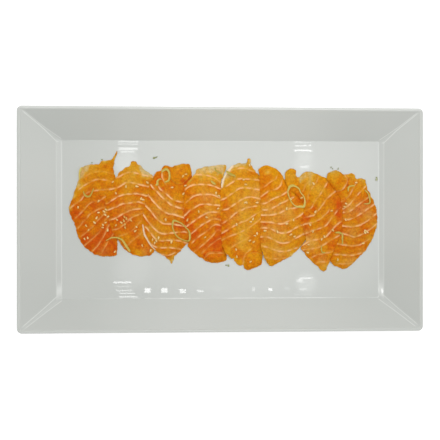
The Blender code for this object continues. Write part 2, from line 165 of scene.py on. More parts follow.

# Each slice: its outline, clockwise from its top left, and the part folded double; the lines of fat
# across it, from the top down, and how strong each one is; at GOLD_PLACES, how golden its flesh is, less
# than 0 being redder, and its painted light and shade, a brightness factor; and spots of colour as
# (x, y, reach, amount), where red is deeper flesh, less than 0 being more golden, pale is thinner,
# yellower flesh and milk is cloudier, pinker flesh. Cream is where the cut edge shows white fat, as
# lines of (x, y, half width). Every place is moved by FOOD_SHIFT before it is used.
GOLD_PLACES = (40.0, 8.0, -25.0)
SLICES = [{
    "outline": [
        (-105, 69), (-104, 68), (-105.2, 64.5), (-107, 60), (-108, 54.5), (-108, 49.5), (-106.5, 43.5),
        (-100, 12), (-101, -6), (-104, -19.5), (-104.2, -29.5), (-105, -34.5), (-109, -36), (-117, -36),
        (-125, -34.5), (-132, -30.5), (-138.6, -24.5), (-143.2, -16), (-146, -5), (-152, 10),
        (-147.7, 24), (-142.8, 40), (-140.5, 51), (-132, 55), (-123, 55.5), (-119.7, 58.7), (-116, 59),
        (-110, 60.5), (-107.5, 63.5), (-106, 66.5),
    ],
    "fat": [
        [(-136, 43), (-129, 47), (-119, 48), (-109, 46)],
        [(-140, 32), (-132, 37), (-125, 40), (-117, 40), (-107, 37)],
        [(-148, 14), (-140, 20), (-134, 27), (-127, 29), (-117, 30), (-107, 31)],
        [(-143, 4), (-140, 7), (-137, 10), (-133, 15), (-128, 18), (-122, 19), (-116, 23)],
        [(-141, -6), (-138, -2), (-134, 2), (-131, 6), (-127, 8), (-122, 11), (-116, 13)],
        [(-137, -14), (-132, -10), (-129, -7), (-125, -2), (-121, 2), (-117, 6), (-112, 9)],
        [(-135, -24), (-128, -18), (-125, -15), (-121, -11), (-119, -7), (-117, -2), (-115, 1)],
        [(-128, -30), (-124, -26), (-120, -20), (-117, -15), (-115, -10), (-113, -6)],
        [(-117, -28), (-115, -24), (-113, -21), (-110, -17), (-108, -13)],
    ],
    "strength": (0.3, 0.62, 0.65, 0.5, 0.5, 0.45, 0.42, 0.45, 0.4),
    "gold": (0.6, 0, -0.5),
    "shade": (0.95, 0.94, 0.94),
    "red": [
        (-110, -24, 5, 0.2), (-112, -12, 9, 0.5), (-146, 8, 8, 0.7), (-146, -1, 6, 0.5),
        (-133, -22, 14, 0.5), (-110, -32, 10, 0.2), (-118, 22, 8, 0.35), (-132, 27, 5, 0.3),
        (-139, 22, 5, 0.45), (-131, 18, 5, 0.35), (-124, 8, 6, 0.5), (-115, 6, 6, 0.5),
        (-114, -8, 6, 0.5), (-126, 36, 6, -0.35), (-123, 27, 4, -0.3), (-138, -25, 5, 0.3),
    ],
    "pale": [
        (-139, 48, 6, 0.9), (-136, 55, 5, 0.9), (-130, 52, 7, 0.4), (-140, 43, 4, 0.6),
        (-142, 35, 5, 0.8), (-148, 24, 4, 0.6), (-152, 12, 3, 0.6), (-104, 62, 5, 0.6),
        (-117, 59, 4, 0.5),
    ],
    "milk": [(-118, -32, 6, 0.5), (-140, 48, 5, 0.8)],
}, {
    "outline": [
        (-105, 43), (-100.5, 49.5), (-91.6, 54.5), (-90.5, 58.3), (-86, 58), (-85, 56), (-81, 54),
        (-77, 50), (-69, 44), (-64, 30), (-63, 14), (-65, -10), (-68, -31), (-72, -35), (-82, -36),
        (-96, -30.3), (-103, -20.3), (-110, -9), (-114, 8), (-116, 21), (-111, 32),
    ],
    "fat": [
        [(-102, 43), (-95, 47), (-87, 47), (-79, 45), (-70, 43)],
        [(-115, 30), (-108, 31), (-102, 33), (-96, 37), (-89, 37), (-81, 35), (-72, 33)],
        [(-114, 16.5), (-107.5, 20.5), (-103.5, 23), (-98.5, 25), (-91.5, 26), (-83.5, 26), (-74.5, 24)],
        [(-113, 10), (-105, 13), (-99, 16), (-91, 17), (-83, 18), (-76, 16)],
        [
            (-112.5, 0), (-106.5, 1.5), (-102, 4), (-97, 7), (-92.5, 9), (-88, 10.5), (-83, 11),
            (-77.5, 11),
        ],
        [(-110, -10), (-102, -8), (-94, -1), (-89, 3), (-84, 5), (-78, 7)],
        [(-102, -16), (-94, -13), (-87, -8), (-81, -1)],
        [(-95, -26), (-90, -21), (-85, -17), (-79, -11)],
    ],
    "strength": (0.85, 0.9, 0.92, 0.82, 0.8, 0.55, 0.3, 0.45),
    "gold": (0.7, 0.25, 0),
    "shade": (0.96, 0.96, 0.95),
    "red": [
        (-82, -21, 6, 0.3), (-90, -10, 8, 0.4), (-104, 2, 7, 0.35), (-83, 29, 7, 0.5), (-96, 1, 7, 0.85),
        (-86, 4, 5, 0.35), (-94, 25, 4, -0.3), (-82, -33, 6, -0.4),
    ],
    "pale": [
        (-90, 50, 9, 0.4), (-78, 50, 6, 1.1), (-73, 46, 6, 0.9), (-92, 38, 8, 0.5), (-80, -14, 4, 0.4),
    ],
    "milk": [(-76, -32, 6, 0.5), (-92, 12, 10, 0.35)],
}, {
    "outline": [
        (-68.5, 41), (-67.5, 45.5), (-64.5, 48.5), (-61.5, 49.5), (-60.5, 51.5), (-58.5, 53.7),
        (-55, 54.6), (-52, 53), (-50, 53), (-48, 54), (-40, 56), (-34, 56), (-32, 54), (-30, 44),
        (-26, 31), (-25, 10), (-27, -18), (-36, -24.4), (-39.4, -28.2), (-42.8, -32), (-45.8, -34.2),
        (-48.8, -39), (-50.1, -43.3), (-55, -38), (-66.5, -30.5), (-69.5, -28), (-73, -24.5),
        (-75.5, -20), (-78, -15), (-79, -10), (-79.5, -4.5), (-78, 8), (-74, 26), (-72, 36),
    ],
    "fold": [(-51, 60), (-52, 48), (-51, 40), (-46, 36), (-40, 36), (-34, 41), (-26, 49), (-26, 60)],
    "fat": [
        [(-60, 48), (-60, 43), (-58, 39)],
        [(-62, 31), (-57, 27), (-53, 23.5), (-50, 21), (-45.5, 19), (-39.5, 18), (-33, 19)],
        [(-69.5, 33), (-64.5, 28), (-59.5, 22.5), (-54.5, 18), (-49.5, 14.5), (-40.5, 11.5)],
        [(-73, 24), (-68.5, 18.5), (-64, 13.5), (-60, 10), (-54, 6.5), (-48, 5.5), (-38.5, 2.5)],
        [(-76, 14), (-71, 9), (-67, 3.5), (-62.5, -1), (-58, -3.5), (-50.5, -4), (-38.5, -6)],
        [(-78, 4.5), (-73.5, -1.5), (-69, -7), (-64.5, -11), (-59.5, -13.5), (-52, -13), (-38.5, -11.5)],
        [(-74, -9), (-69, -15.5), (-65, -19.5), (-59, -20.5), (-51, -20), (-43.5, -20.5), (-35.5, -23)],
        [(-70, -24.5), (-64, -27.5), (-57.5, -27.5), (-51, -27.5), (-41.5, -29.5)],
        [(-62, -34), (-56, -35), (-50, -34), (-45, -32)],
    ],
    "strength": (0.8, 1, 1.05, 1.15, 1.15, 1.15, 1.15, 1, 0.7),
    "gold": (0.4, 0.45, 0.5),
    "shade": (1, 0.95, 0.92),
    "cream": [
        [
            (-79, -5, 0.6), (-78.5, -9, 0.85), (-77.5, -14, 0.85), (-75, -18.5, 0.7), (-72.5, -23, 0.6),
            (-69.5, -27, 0.5), (-67, -29.5, 0.4),
        ],
    ],
    "red": [
        (-62, 42, 8, 0.6), (-59, 31, 3, 1), (-38, 38, 4, 0.9), (-36, 14, 6, 0.9), (-37, 4, 4, 0.8),
        (-41, -8, 8, 1), (-72, 22, 5, 0.3), (-66, 32, 4, 0.3), (-71, 10, 7, -0.45), (-58, 24, 6, -0.35),
    ],
    "pale": [
        (-44, 54, 6, 0.3), (-65, -14, 8, 0.4), (-49, -40, 5, 0.6), (-72, -8, 4, 0.3), (-66, 12, 8, 0.2),
    ],
    "milk": [(-60, 22, 7, 0.6), (-50, 10, 7, 0.6), (-62, 6, 7, 0.5)],
}, {
    "outline": [
        (-29, 44), (-24, 51), (-14, 53.5), (4, 54.5), (1, 44), (-1, 35), (6, 22), (10, 0), (9, -18),
        (4, -30), (5, -37), (4, -40), (0, -42), (-13.5, -42.3), (-18.6, -39.6), (-24.6, -35.6),
        (-34.6, -25.5), (-32, -17), (-37, -4), (-38, 12), (-38, 26), (-35, 37),
    ],
    "fold": [(-17, -48), (-18, -38), (-16, -33), (-12, -31), (-4, -31), (2, -33), (10, -40), (10, -48)],
    "fat": [
        [(-28.5, 45), (-23, 45.5), (-17.5, 45), (-12.5, 44), (-8.5, 42.5), (-1.5, 37.5)],
        [(-38, 29), (-34.5, 32.5), (-30, 34.5), (-24, 35.5), (-16.5, 35.5), (-10.5, 34.5), (-1.5, 31)],
        [(-34, 19), (-30, 23), (-25, 25), (-19, 25.5), (-12.5, 25.5), (-7.5, 24.5), (-1.5, 22)],
        [(-38, 4), (-32.5, 9), (-27.5, 12.5), (-23.5, 15), (-18.5, 16), (-12.5, 15.5), (-1.5, 14.5)],
        [(-37.5, -8), (-30.5, -2.5), (-25.5, 1), (-22, 3.5), (-17.5, 6), (-11.5, 8), (-1.5, 7.5)],
        [
            (-32, -14.5), (-26.5, -10), (-22.5, -6.5), (-18.5, -3.5), (-14, -1.5), (-10.5, 0.5),
            (-6.5, 1), (-0.5, -0.5),
        ],
        [(-28, -20.5), (-21.5, -15), (-16.5, -12), (-13.5, -9.5), (-10.5, -6.5), (-7, -4.5), (-0.5, -6)],
        [(-27, -31), (-21, -26), (-15, -21), (-9, -15), (-4, -10)],
        [(-18, -31), (-12, -25), (-4, -19)],
        [(-14, -34), (-8, -33), (0, -33)],
    ],
    "strength": (0.75, 0.9, 0.9, 0.9, 0.88, 0.78, 0.62, 0.5, 0.42, 0.42),
    "gold": (0.6, 0.45, -0.1),
    "shade": (1.03, 0.99, 1),
    "red": [
        (-27, -13, 5, 0.9), (-8, -22, 8, 0.8), (-3, 3, 4, 0.8), (-3, -8, 4, 0.9), (-3, -18, 5, 0.9),
        (-3, -28, 5, 0.3), (-28, -28, 8, 0.1), (-34, -5, 6, 0.8), (-35, 6, 6, 0.6), (-18, 24, 6, 0.4),
        (-4, -36, 8, 0.1), (-12, 41, 5, 0.3), (-22, 0, 6, 0.35), (-15, -12, 7, 0.4), (-12, 7, 5, -0.3),
        (-8, -39, 7, -0.3),
    ],
    "pale": [
        (-12, 51, 10, 0.8), (-2, 53, 8, 0.9), (-22, 47, 8, 0.6), (-4, 40, 6, 0.25), (-34, 40, 5, 0.3),
        (-20, 36, 8, 0.25), (-10, 8, 8, 0.2),
    ],
    "milk": [(-18, 24, 8, 0.6), (-10, 20, 6, 0.4), (-14, 6, 6, 0.6)],
}, {
    "outline": [
        (-1, 36), (2, 44), (8, 53), (17, 57), (24.5, 57), (25.6, 61.5), (28.2, 61.7), (28.9, 56),
        (31.8, 50.8), (35.5, 46.8), (45, 28), (49, 5), (46, -15), (41, -27), (40, -43), (37, -46),
        (32, -48), (28, -50), (25, -50), (22, -48), (21, -45.5), (18.7, -45.5), (15.5, -44.5),
        (12.4, -41.5), (11.4, -38.6), (9.5, -38.6), (2.4, -31.5), (-1, -20), (-1, -5), (-2, 12), (-2, 24),
    ],
    "fold": [(21, -56), (21, -42), (22, -37), (25, -34), (31, -32), (37, -33), (44, -40), (44, -56)],
    "fat": [
        [(8, 49), (14, 51), (21, 52), (30, 49)],
        [(6, 35), (12, 39), (16, 41), (24, 41), (36, 40)],
        [(-1, 20), (5, 23), (9, 26), (13, 29), (18, 32), (25, 32), (39, 30)],
        [(-1.5, 10), (5.5, 11), (10.5, 14.5), (15.5, 18), (20.5, 21), (26.5, 23), (39.5, 21)],
        [(1.5, -2.5), (6.5, 1), (10.5, 4.5), (15, 8), (20.5, 10.5), (25.5, 12.5), (31.5, 13.5)],
        [(-0.5, -13), (6.5, -9), (12.5, -5.5), (18, -2.5), (23.5, -0.5), (28, 2), (31.5, 4.5), (39.5, 9)],
        [(1.5, -19), (7.5, -16), (13.5, -14), (19.5, -11.5), (25.5, -8.5), (31, -4.5), (39.5, 2)],
        [(10, -27), (16, -23), (24, -19)],
        [(21, -44), (21, -39), (23, -34.5), (26.5, -30.5)],
    ],
    "strength": (0.7, 0.88, 0.9, 0.9, 0.8, 0.72, 0.55, 0.45, 0.5),
    "gold": (0.8, 0.75, 0.75),
    "shade": (1, 0.99, 1),
    "cream": [
        [(10, 54, 1.2), (6, 50.5, 1.9), (3, 45.5, 1.2), (0.8, 41, 1.3), (0, 37, 1.2), (-0.5, 33, 0.7)],
    ],
    "red": [
        (4, 15, 6, 0.9), (1, -2, 3.5, 0.9), (1, -14, 3.5, 0.8), (10, 5, 8, 0.3), (10, -22, 7, 0.7),
        (37, -14, 4, 0.5), (32, -16, 5, 0.5), (32, -48, 8, 0.2), (14, -33, 8, 0.4), (18, 37, 6, 0.3),
        (-1, 30, 4, -0.4), (11, 28, 6, -0.35), (28, 31, 6, -0.35), (5, -11, 6, 0.7), (29, -18, 6, 0.5),
        (18, -43, 6, -0.3),
    ],
    "pale": [
        (5, 44, 7, 0.9), (14, 55, 7, 0.8), (23, 55, 6, 0.6), (30, 60, 4, 0.9), (21, -13, 8, 0.5),
        (24, -1, 9, 0.3), (19, -24, 8, 0.5), (2, 36, 4, 0.3), (20, 24, 16, 0.3), (20, 8, 10, 0.2),
    ],
    "milk": [(34, 30, 6, 0.8), (36, 21, 5, 0.6), (20, 14, 7, 0.5), (10, 2, 8, 0.3)],
}, {
    "outline": [
        (37, 44), (37, 51), (43, 55), (49.3, 53.8), (58.7, 47.6), (62.7, 40.5), (72, 31), (82, 21),
        (89, 5), (88, -12), (78.6, -27), (74.2, -31.6), (70, -35.6), (60, -41), (48, -46), (43, -39),
        (39, -28), (38, -10), (39, 8), (38, 26),
    ],
    "fat": [
        [(38.5, 32), (43, 34), (46.5, 37), (49.5, 39), (53.5, 41)],
        [
            (38.5, 23.5), (42, 26), (46, 28.5), (50.5, 30), (54.5, 31.5), (57.5, 33.5), (59.5, 37),
            (60.5, 41.5),
        ],
        [(36.5, 16), (42, 16.5), (46, 18.5), (50.5, 21), (58, 24), (61.5, 26), (65.5, 29)],
        [(36.5, 11.5), (43.5, 10), (48, 11), (55, 14.5), (61.5, 18), (69, 21.5)],
        [(37.5, 5), (46.5, 5), (53.5, 6), (58.5, 7.5), (62.5, 9.5), (66.5, 11), (74.5, 12.5)],
        [(37.5, -2), (47.5, -2), (54.5, -3.5), (61.5, -3.5), (66.5, -1), (71, 0.5), (81, 6.5)],
        [
            (36.5, -8), (45.5, -8), (50, -9.5), (55.5, -12), (60, -13), (65, -12.5), (69, -11),
            (72.5, -8.5), (81, -4.5),
        ],
        [
            (35.5, -17), (45, -17), (50, -19), (54.5, -21.5), (59, -23), (63.5, -23), (67.5, -22),
            (71.5, -19), (76, -17), (85.5, -12),
        ],
        [
            (36, -25), (44, -27), (49.5, -29), (54.5, -30.5), (59, -31.5), (64.5, -31), (68.5, -30),
            (78.5, -27),
        ],
        [(40, -36), (46, -38), (52, -39), (65, -38)],
    ],
    "strength": (0.5, 0.65, 0.9, 0.85, 0.9, 0.9, 1, 0.9, 0.8, 0.5),
    "gold": (0.55, 0.75, 0.75),
    "shade": (1.04, 0.99, 0.96),
    "red": [
        (48, 40, 6, 0.5), (44, 45, 4, 0.3), (42, 34, 5, 0.4), (84, 0, 6, 0.6), (86, -8, 5, 0.4),
        (64, 38, 4, 0.4), (76, 20, 7, 0.8), (42, -20, 5, 0.2), (53, 47, 6, -0.8), (66, 24, 5, 0.5),
        (72, 12, 6, 0.5), (42, 24, 5, 0.5), (55, 25, 7, -0.7), (51, 38, 6, -0.5), (66, -15, 4, 0.4),
    ],
    "pale": [
        (45, 48, 3, 0.8), (62, -17, 6, 0.5), (66, 10, 9, 0.3), (55, -30, 8, 0.3), (72, -36, 6, 0.7),
        (44, 13, 7, 0.3), (44, -26, 8, 0.25), (80, -29, 4, 0.6),
    ],
    "milk": [(48, 10, 10, 0.6), (62, 6, 10, 0.6), (52, -12, 12, 0.7), (58, -32, 8, 0.7)],
}, {
    "outline": [
        (63, 39), (63.6, 47.5), (67.7, 51.7), (73.3, 50.5), (74.4, 44.4), (77.2, 43.3), (80, 45.8),
        (84, 48.6), (90.2, 48.3), (92.8, 47.6), (96.8, 45.9), (100.5, 43.9), (104.8, 42.2), (118, 31),
        (127, 18), (130, 2), (128, -14), (119, -31), (108, -43), (102.7, -52), (96.2, -46.7), (89.4, -41),
        (84.8, -36), (83.1, -33.2), (80.8, -30.8), (78.6, -28.2), (84, -20), (82, -11), (79, -3), (81, 6),
        (82, 14), (77, 23), (67, 32),
    ],
    "fat": [
        [(82, 31), (83, 34), (86, 38), (89, 42), (90, 49)],
        [(95.5, 40), (93, 35.5), (90, 32), (88, 28.5), (86.5, 25), (85.5, 20)],
        [
            (106.5, 38.5), (104.5, 35.5), (101, 30), (98.5, 26), (95.5, 22), (92.5, 18), (91, 14.5),
            (87.5, 11),
        ],
        [(85, 3), (88, 4), (92, 5), (95, 8), (100, 14), (104, 20), (109, 25), (117, 31)],
        [(83, -4), (88, -3), (92, -2), (96, 0), (100, 2), (103, 5), (106, 8)],
        [
            (116.5, 10.5), (113, 5.5), (109.5, 1), (106.5, -3), (103, -6.5), (99, -8), (91, -10.5),
            (86.5, -12),
        ],
        [(81, -25), (86, -22), (92, -20), (98, -19), (104, -17), (108, -13), (113, -7), (120, -1)],
        [(81, -30), (87, -29), (95, -28), (102, -25), (109, -20), (117, -16)],
        [(88, -39), (93, -36), (100, -34), (110, -32)],
        [(97, -42), (103, -42), (111, -40)],
    ],
    "strength": (0.3, 0.55, 0.62, 0.65, 0.65, 0.8, 0.8, 0.65, 0.5, 0.5),
    "gold": (0.8, 0.5, 0.45),
    "shade": (0.98, 0.97, 0.97),
    "red": [
        (82, 2, 5, 0.5), (86, -7, 5, 0.5), (110, 36, 5, 0.6), (116, 22, 7, 0.8), (118, 14, 4.5, 1.1),
        (118, 5, 4.5, 1.3), (118, -8, 6, 0.8), (112, -24, 8, 0.5), (92, 12, 4, 0.8), (77, 27, 6, 0.7),
        (107, -11, 7, 0.6), (84, 18, 5, 0.5), (88, 31, 6, -0.5), (98, 26, 6, -0.4), (94, -25, 7, -0.35),
    ],
    "pale": [
        (88, 45, 7, 0.8), (88, 37, 5, 0.6), (97, 31, 5, 0.55), (70, 44, 5, 0.5), (80, 42, 4, 0.8),
        (104, -47, 5, 0.5), (90, -24, 7, 0.3),
    ],
    "milk": [(88, -22, 9, 0.9), (82, -14, 6, 0.5), (100, -40, 6, 0.5)],
}, {
    "outline": [
        (105, 42), (106, 46), (110, 49), (115.8, 50.2), (119.6, 48), (123, 46), (125, 46), (129, 47),
        (133, 46), (135.5, 42), (138, 42), (141, 42), (145.2, 39.3), (146.3, 33.4), (150.1, 25.5),
        (155.9, 11.2), (156.7, -4), (151.9, -19.3), (145, -30.3), (141, -34.4), (133.3, -42.4),
        (129.1, -46.4), (123, -49.7), (119.5, -49), (116.5, -46.8), (113.5, -46.4), (109, -41),
        (114, -28), (120, -11), (121, 8), (119, 21), (113, 31), (108, 37),
    ],
    "fold": [(100, 54), (106, 32), (115, 29), (122, 31), (126, 38), (124, 54)],
    "fat": [
        [(124, 45), (126, 40), (124, 35), (119, 30)],
        [(121, 19), (127, 24), (131, 30), (136, 40)],
        [(121, 11), (127, 15), (131, 19), (135, 24), (143, 32)],
        [(119, 8), (124, 8), (129, 9.5), (133, 12.5), (136.5, 15), (140.5, 18), (145, 21), (149.5, 24)],
        [(119, 2), (126, 0.5), (132, 2), (136.5, 4.5), (140.5, 7), (147, 11.5), (154, 16)],
        [
            (119, -5.5), (126.5, -6.5), (132.5, -6.5), (137.5, -5.5), (144.5, -2), (148.5, 0.5),
            (154.5, 5.5),
        ],
        [
            (119, -13), (126.5, -15), (132.5, -17), (137.5, -16), (141.5, -14), (146.5, -11),
            (150.5, -8.5), (155.5, -4.5),
        ],
        [(115, -24), (123, -25), (130.5, -26), (138.5, -25), (145.5, -21), (152, -17.5)],
        [(111.5, -34.5), (121, -35), (130.5, -35.5), (136.5, -34.5), (142, -32.5)],
        [(117, -44), (126, -44), (133, -43)],
    ],
    "strength": (0.6, 0.55, 0.72, 0.72, 0.8, 0.8, 0.8, 0.7, 0.62, 0.45),
    "gold": (0.55, 0.4, 0.4),
    "shade": (0.99, 0.95, 0.94),
    "red": [
        (120, 10, 5, 0.8), (120, -8, 5, 0.4), (146, 18, 6, 0.7), (142, 12, 7, 0.8), (148, 27, 4, 0.5),
        (124, -5, 6, -0.3), (134, 25, 5, -0.3), (145, -11, 6, 1), (141, -25, 5, 0.35),
        (117, -25, 6, -0.35), (112, 46, 6, -0.7), (136, -2, 8, 0.2),
    ],
    "pale": [
        (113, 47, 6, 0.6), (130, 44, 6, 0.4), (141, 40, 5, 0.5), (152, 24, 4, 0.5), (150, -18, 5, 0.3),
        (125, -42, 8, 0.2), (155, -5, 4, 0.4),
    ],
    "milk": [
        (128, 12, 8, 0.8), (142, 10, 8, 0.8), (150, 4, 6, 0.6), (131, -12, 8, 0.6), (130, -42, 7, 0.7),
        (142, -32, 4, 0.6),
    ],
}]

# Spring onion: closed rings, and strips cut from rings, as the middle line of each with its width there.
# The first number for each is how yellow it is, from 0 for green to 1.
ONION_THICKNESS = 0.55
ONION_STEP = 0.7
ONION_SIDES = 12
ONION_ROLL = 0.25
ONION_ROLL_CHANGE = 0.3
ONION_CUP = 0.25
ONION_TAPER = 1.2
ONION_RINGS = {
    "middle": (0.35, [
        (-48, -1, 2.2), (-44, -2, 1.3), (-40, -4, 1.2), (-36, -8, 1.1), (-33, -11, 1.4), (-32, -15, 2.1),
        (-32, -19, 2.4), (-33, -21, 1.8), (-36, -21, 1.1), (-39, -20, 1.1), (-43, -18, 1.2),
        (-46, -15, 1.2), (-48, -11, 1.1), (-49, -8, 1.3), (-49, -4, 1.8),
    ]),
    "right": (0.75, [
        (67, 31, 2.0), (68, 33, 2.5), (71, 34, 2.4), (74, 33, 1.6), (77, 31, 1.2), (79, 27, 1.0),
        (82, 23, 1.1), (83, 19, 1.5), (83, 16, 2.0), (82, 13, 2.3), (79, 13, 2.3), (75, 13, 1.6),
        (72, 15, 1.0), (69, 19, 1.1), (67, 24, 1.4), (66, 28, 1.5),
    ]),
}
ONION_STRIPS = [
    (0.7, [(-139, 52, 1.3), (-140, 49, 2.3), (-141, 46, 1.6), (-141, 39, 0.8)]),
    (0.1, [
        (-137, 28, 1.0), (-136, 25, 1.4), (-134, 23, 1.8), (-131, 23, 1.6), (-129, 26, 1.3),
        (-127, 31, 0.9),
    ]),
    (0.45, [
        (-115, -21, 1.0), (-109, -18, 1.4), (-103, -18, 1.4), (-99, -20, 1.8), (-95, -26, 2.1),
        (-91, -32, 1.9),
    ]),
    (0.5, [
        (-60, 47, 1.5), (-58, 49, 2.2), (-55, 50, 2.5), (-53, 48, 2.0), (-52, 44, 1.9), (-53, 39, 1.8),
        (-57, 37, 1.3),
    ]),
    (0.5, [(-60, 40, 1.2), (-62, 40, 1.5), (-64, 38, 2.0), (-64, 35, 2.2), (-66, 34, 1.4)]),
    (0.0, [(-7, 52, 1.6), (-6, 49, 1.4), (-3, 47, 1.1), (0, 46, 0.9)]),
    (0.3, [(100, -26, 1.2), (100, -31, 1.4), (101, -33, 1.8), (104, -33, 1.4)]),
    (0.3, [(114, -13, 1.3), (118, -13, 2.0), (121, -15, 1.3), (121, -19, 1.6), (121, -25, 1.0)]),
    (0.5, [(127, 28, 1.0), (127, 31, 1.5), (128, 33, 1.6), (131, 34, 1.3), (134, 34, 0.9)]),
    (0.5, [
        (144, 30, 0.9), (147, 27, 1.4), (148, 24, 1.6), (149, 20, 2.0), (149, 17, 1.7), (147, 16, 1.3),
        (143, 16, 0.9),
    ]),
    (0.4, [(-11, 39, 1.3), (-9, 37, 2.2), (-6, 35, 1.3)]),
    (0.2, [(4, 49, 1.2), (6, 47, 2.4), (9, 45, 2.8), (12, 44, 2.0), (14, 43, 1.0)]),
]

# Sesame seeds, slice by slice
SEED_LENGTH = 3.1
SEED_WIDTH = 1.9
SEED_HEIGHT = 1.0
SEED_ROWS = 9
SEED_SIDES = 12
SEED_TAPER = 0.38
SEED_SIT = 0.42
SEED_SCATTER = 0.3
SEEDS = [
    (-142, 12), (-115, 10), (-122, 7), (-117, 8), (-116, 5), (-113, 3), (-124, 2), (-126, -3), (-134, -6),
    (-132, -10), (-115, -3), (-118, -5), (-118, -8), (-113, -10), (-136, -19), (-133, -18), (-106, -32),
    (-108, 37), (-122, 18),
    (-105, 26), (-95, 33), (-84, 33), (-74, 37), (-80, 21), (-78, 20), (-104, 0), (-97, 3), (-95, 1),
    (-97, -1), (-100, -3), (-96, -5), (-96, -8), (-90, -1), (-85, -7), (-86, -11), (-105, -6), (-79, -26),
    (-71, -31),
    (-56, 0), (-69, -20), (-65, -21), (-67, -23), (-63, -18), (-50, -22), (-50, 32), (-36, 45), (-39, 43),
    (-36, 34), (-38, 26),
    (-34, 0), (-15, 2), (-23, 8), (-17, -18), (-6, 26), (-3, 24), (-4, 11),
    (28, 54), (22, 40), (24, 35), (23, 17), (25, 17), (35, 17), (15, -5), (31, 1), (29, -2), (35, -14),
    (33, -16), (28, -21), (32, -22), (14, -30), (15, -37), (29, -42),
    (43, -11), (56, -12), (65, -4), (72, 0), (58, 16), (69, 21), (80, 22), (69, -15), (73, -17), (65, 11),
    (92, 36), (94, 8), (88, -5), (91, -12), (103, -17), (100, -20), (110, 9), (112, -11), (86, -33),
    (87, -25),
    (135, 37), (125, 16), (123, 13), (124, 0), (145, -11), (147, -13), (144, -13), (121, -15), (121, -19),
    (142, -24), (116, -40),
]
TOASTED_PLACE = (-97, -3)
TOASTED_REACH = 11

# Crumbs of herb, each as its flakes: (x, y, length, width, turn in degrees, how dry)
CRUMBS = [
    (-67.5, 61.5, 2.6, 2.2, 20, 0.2), (-65.4, 62.1, 2.4, 1.1, 25, 0.1),
    (110.2, 52.8, 1.6, 1.2, 60, 0.0), (111.6, 51.4, 1.3, 0.9, -40, 0.0),
    (117.4, 51.2, 2.3, 1.0, 80, 0.0),
    (156.6, 42.6, 1.5, 1.2, 0, 0.2), (156.6, 40.6, 2.6, 2.4, 70, 0.7),
    (4.2, -45.6, 1.8, 1.0, 10, 0.2), (6.6, -46.2, 2.4, 1.8, -10, 0.4), (6.2, -44.9, 1.4, 1.0, 20, 1.0),
    (-119.0, 59.5, 2.2, 0.9, -10, 0.1), (-129.0, 56.5, 1.6, 0.9, 30, 0.1),
]
CRUMB_HEIGHT = 0.6
CRUMB_DENTS = 0.22

# How far strips and crumbs lie above what is under them
LYING_GAP = 0.1

# Studio light: the sky's level and its glows, as (where a glow's reflection shows on the platter, how
# steeply the glaze rises there along X and Y, the reflection's radius, amount); and the lamps overhead,
# as (where the reflection shows on the well, its size, radiance)
SKY_LEVEL = 0.63
SKY_LEAST = 0.03
FLAT = (0, 0)
BACK_RIM = (0, 0.57)
FRONT_RIM = (0, -0.57)
SKY_GLOWS = [
    ((36, 52), FLAT, 205, 2.2), ((-95, 57), FLAT, 16, 2.2), ((-94, 44), FLAT, 12, 1.6),
    ((83, 56), FLAT, 14, 1.4), ((84, 68), FLAT, 12, 0.8), ((85, -64), FLAT, 14, 1.8),
    ((-90, -50), FLAT, 24, 0.9), ((20, -58), FLAT, 60, 0.3),
    ((-165, 97), BACK_RIM, 75, -0.6), ((25, 95), BACK_RIM, 110, 0.8),
    ((15, -95), FRONT_RIM, 140, 0.8), ((-165, -95), FRONT_RIM, 60, -0.5),
    ((-178, -85), (-0.48, 0), 60, -0.45), ((-178, 60), (-0.48, 0), 60, 0.4),
    ((182, -80), (0.48, 0), 75, -0.6), ((168, 80), (0.37, 0.38), 40, 4.0),
]
KEY_PLACE = Vector((0.04, 0.40, 0.90))
KEY_SIZE = (0.50, 0.25)
KEY_RADIANCE = 7.0
LAMP_HEIGHT = 1500.0
LAMPS = [
    ((-93, 77.5), (20, 1.2), 6), ((-93, 75), (20, 0.8), 6), ((-93.5, 70.5), (19, 2.6), 6),
    ((-94, 67.5), (14, 1.0), 7),
    ((82, 77.5), (18, 1.0), 3), ((82, 74.5), (16, 1.0), 7), ((82, 69.5), (18, 1.6), 8),
    ((83.5, 53), (9, 2.4), 4),
    ((-99, -62.5), (18, 1.6), 8), ((-98, -66.5), (16, 0.8), 3), ((-97, -70.5), (17, 1.0), 6),
    ((-94, -73.5), (16, 1.2), 6), ((-93, -76.8), (18, 1.2), 7),
    ((-74, -70.5), (5.5, 4.5), 10), ((-57.5, -70.5), (6, 4.5), 9), ((-39, -71.5), (6, 4), 8),
    ((-21.5, -71.5), (6, 2.6), 6), ((49, -70), (3.6, 3), 10), ((32, -70), (3, 4), 3.5),
    ((66, -69), (5, 2), 2), ((-4, -70), (6, 2), 1.5),
    ((85, -59), (14, 1.4), 4.5), ((79, -61.5), (6, 3.5), 4), ((82, -70), (7, 2), 2.5),
    ((82, -75.5), (18, 0.8), 2), ((10, -67.8), (70, 0.8), 0.8),
]
FLOOR_HALF = 3000.0
FLOOR_GAP = 0.2


# Shader nodes


class Value:
    """A socket of a node tree. Sums and products with it become math nodes."""

    def __init__(self, tree, socket):
        self.tree = tree
        self.socket = socket

    def calc(self, operation, *others, clamp=False):
        """The result of a math node."""
        inputs = dict(enumerate((self, *others)))
        return add_node(self.tree, "Math", inputs, operation=operation, use_clamp=clamp)

    def __add__(self, other):
        return self.calc("ADD", other)

    def __sub__(self, other):
        return self.calc("SUBTRACT", other)

    def __mul__(self, other):
        return self.calc("MULTIPLY", other)

    def flipped(self):
        """1 less the value, kept between 0 and 1."""
        return self.calc("MULTIPLY_ADD", -1.0, 1.0, clamp=True)

    def clamped(self):
        """The value kept between 0 and 1."""
        return self.calc("ADD", 0.0, clamp=True)


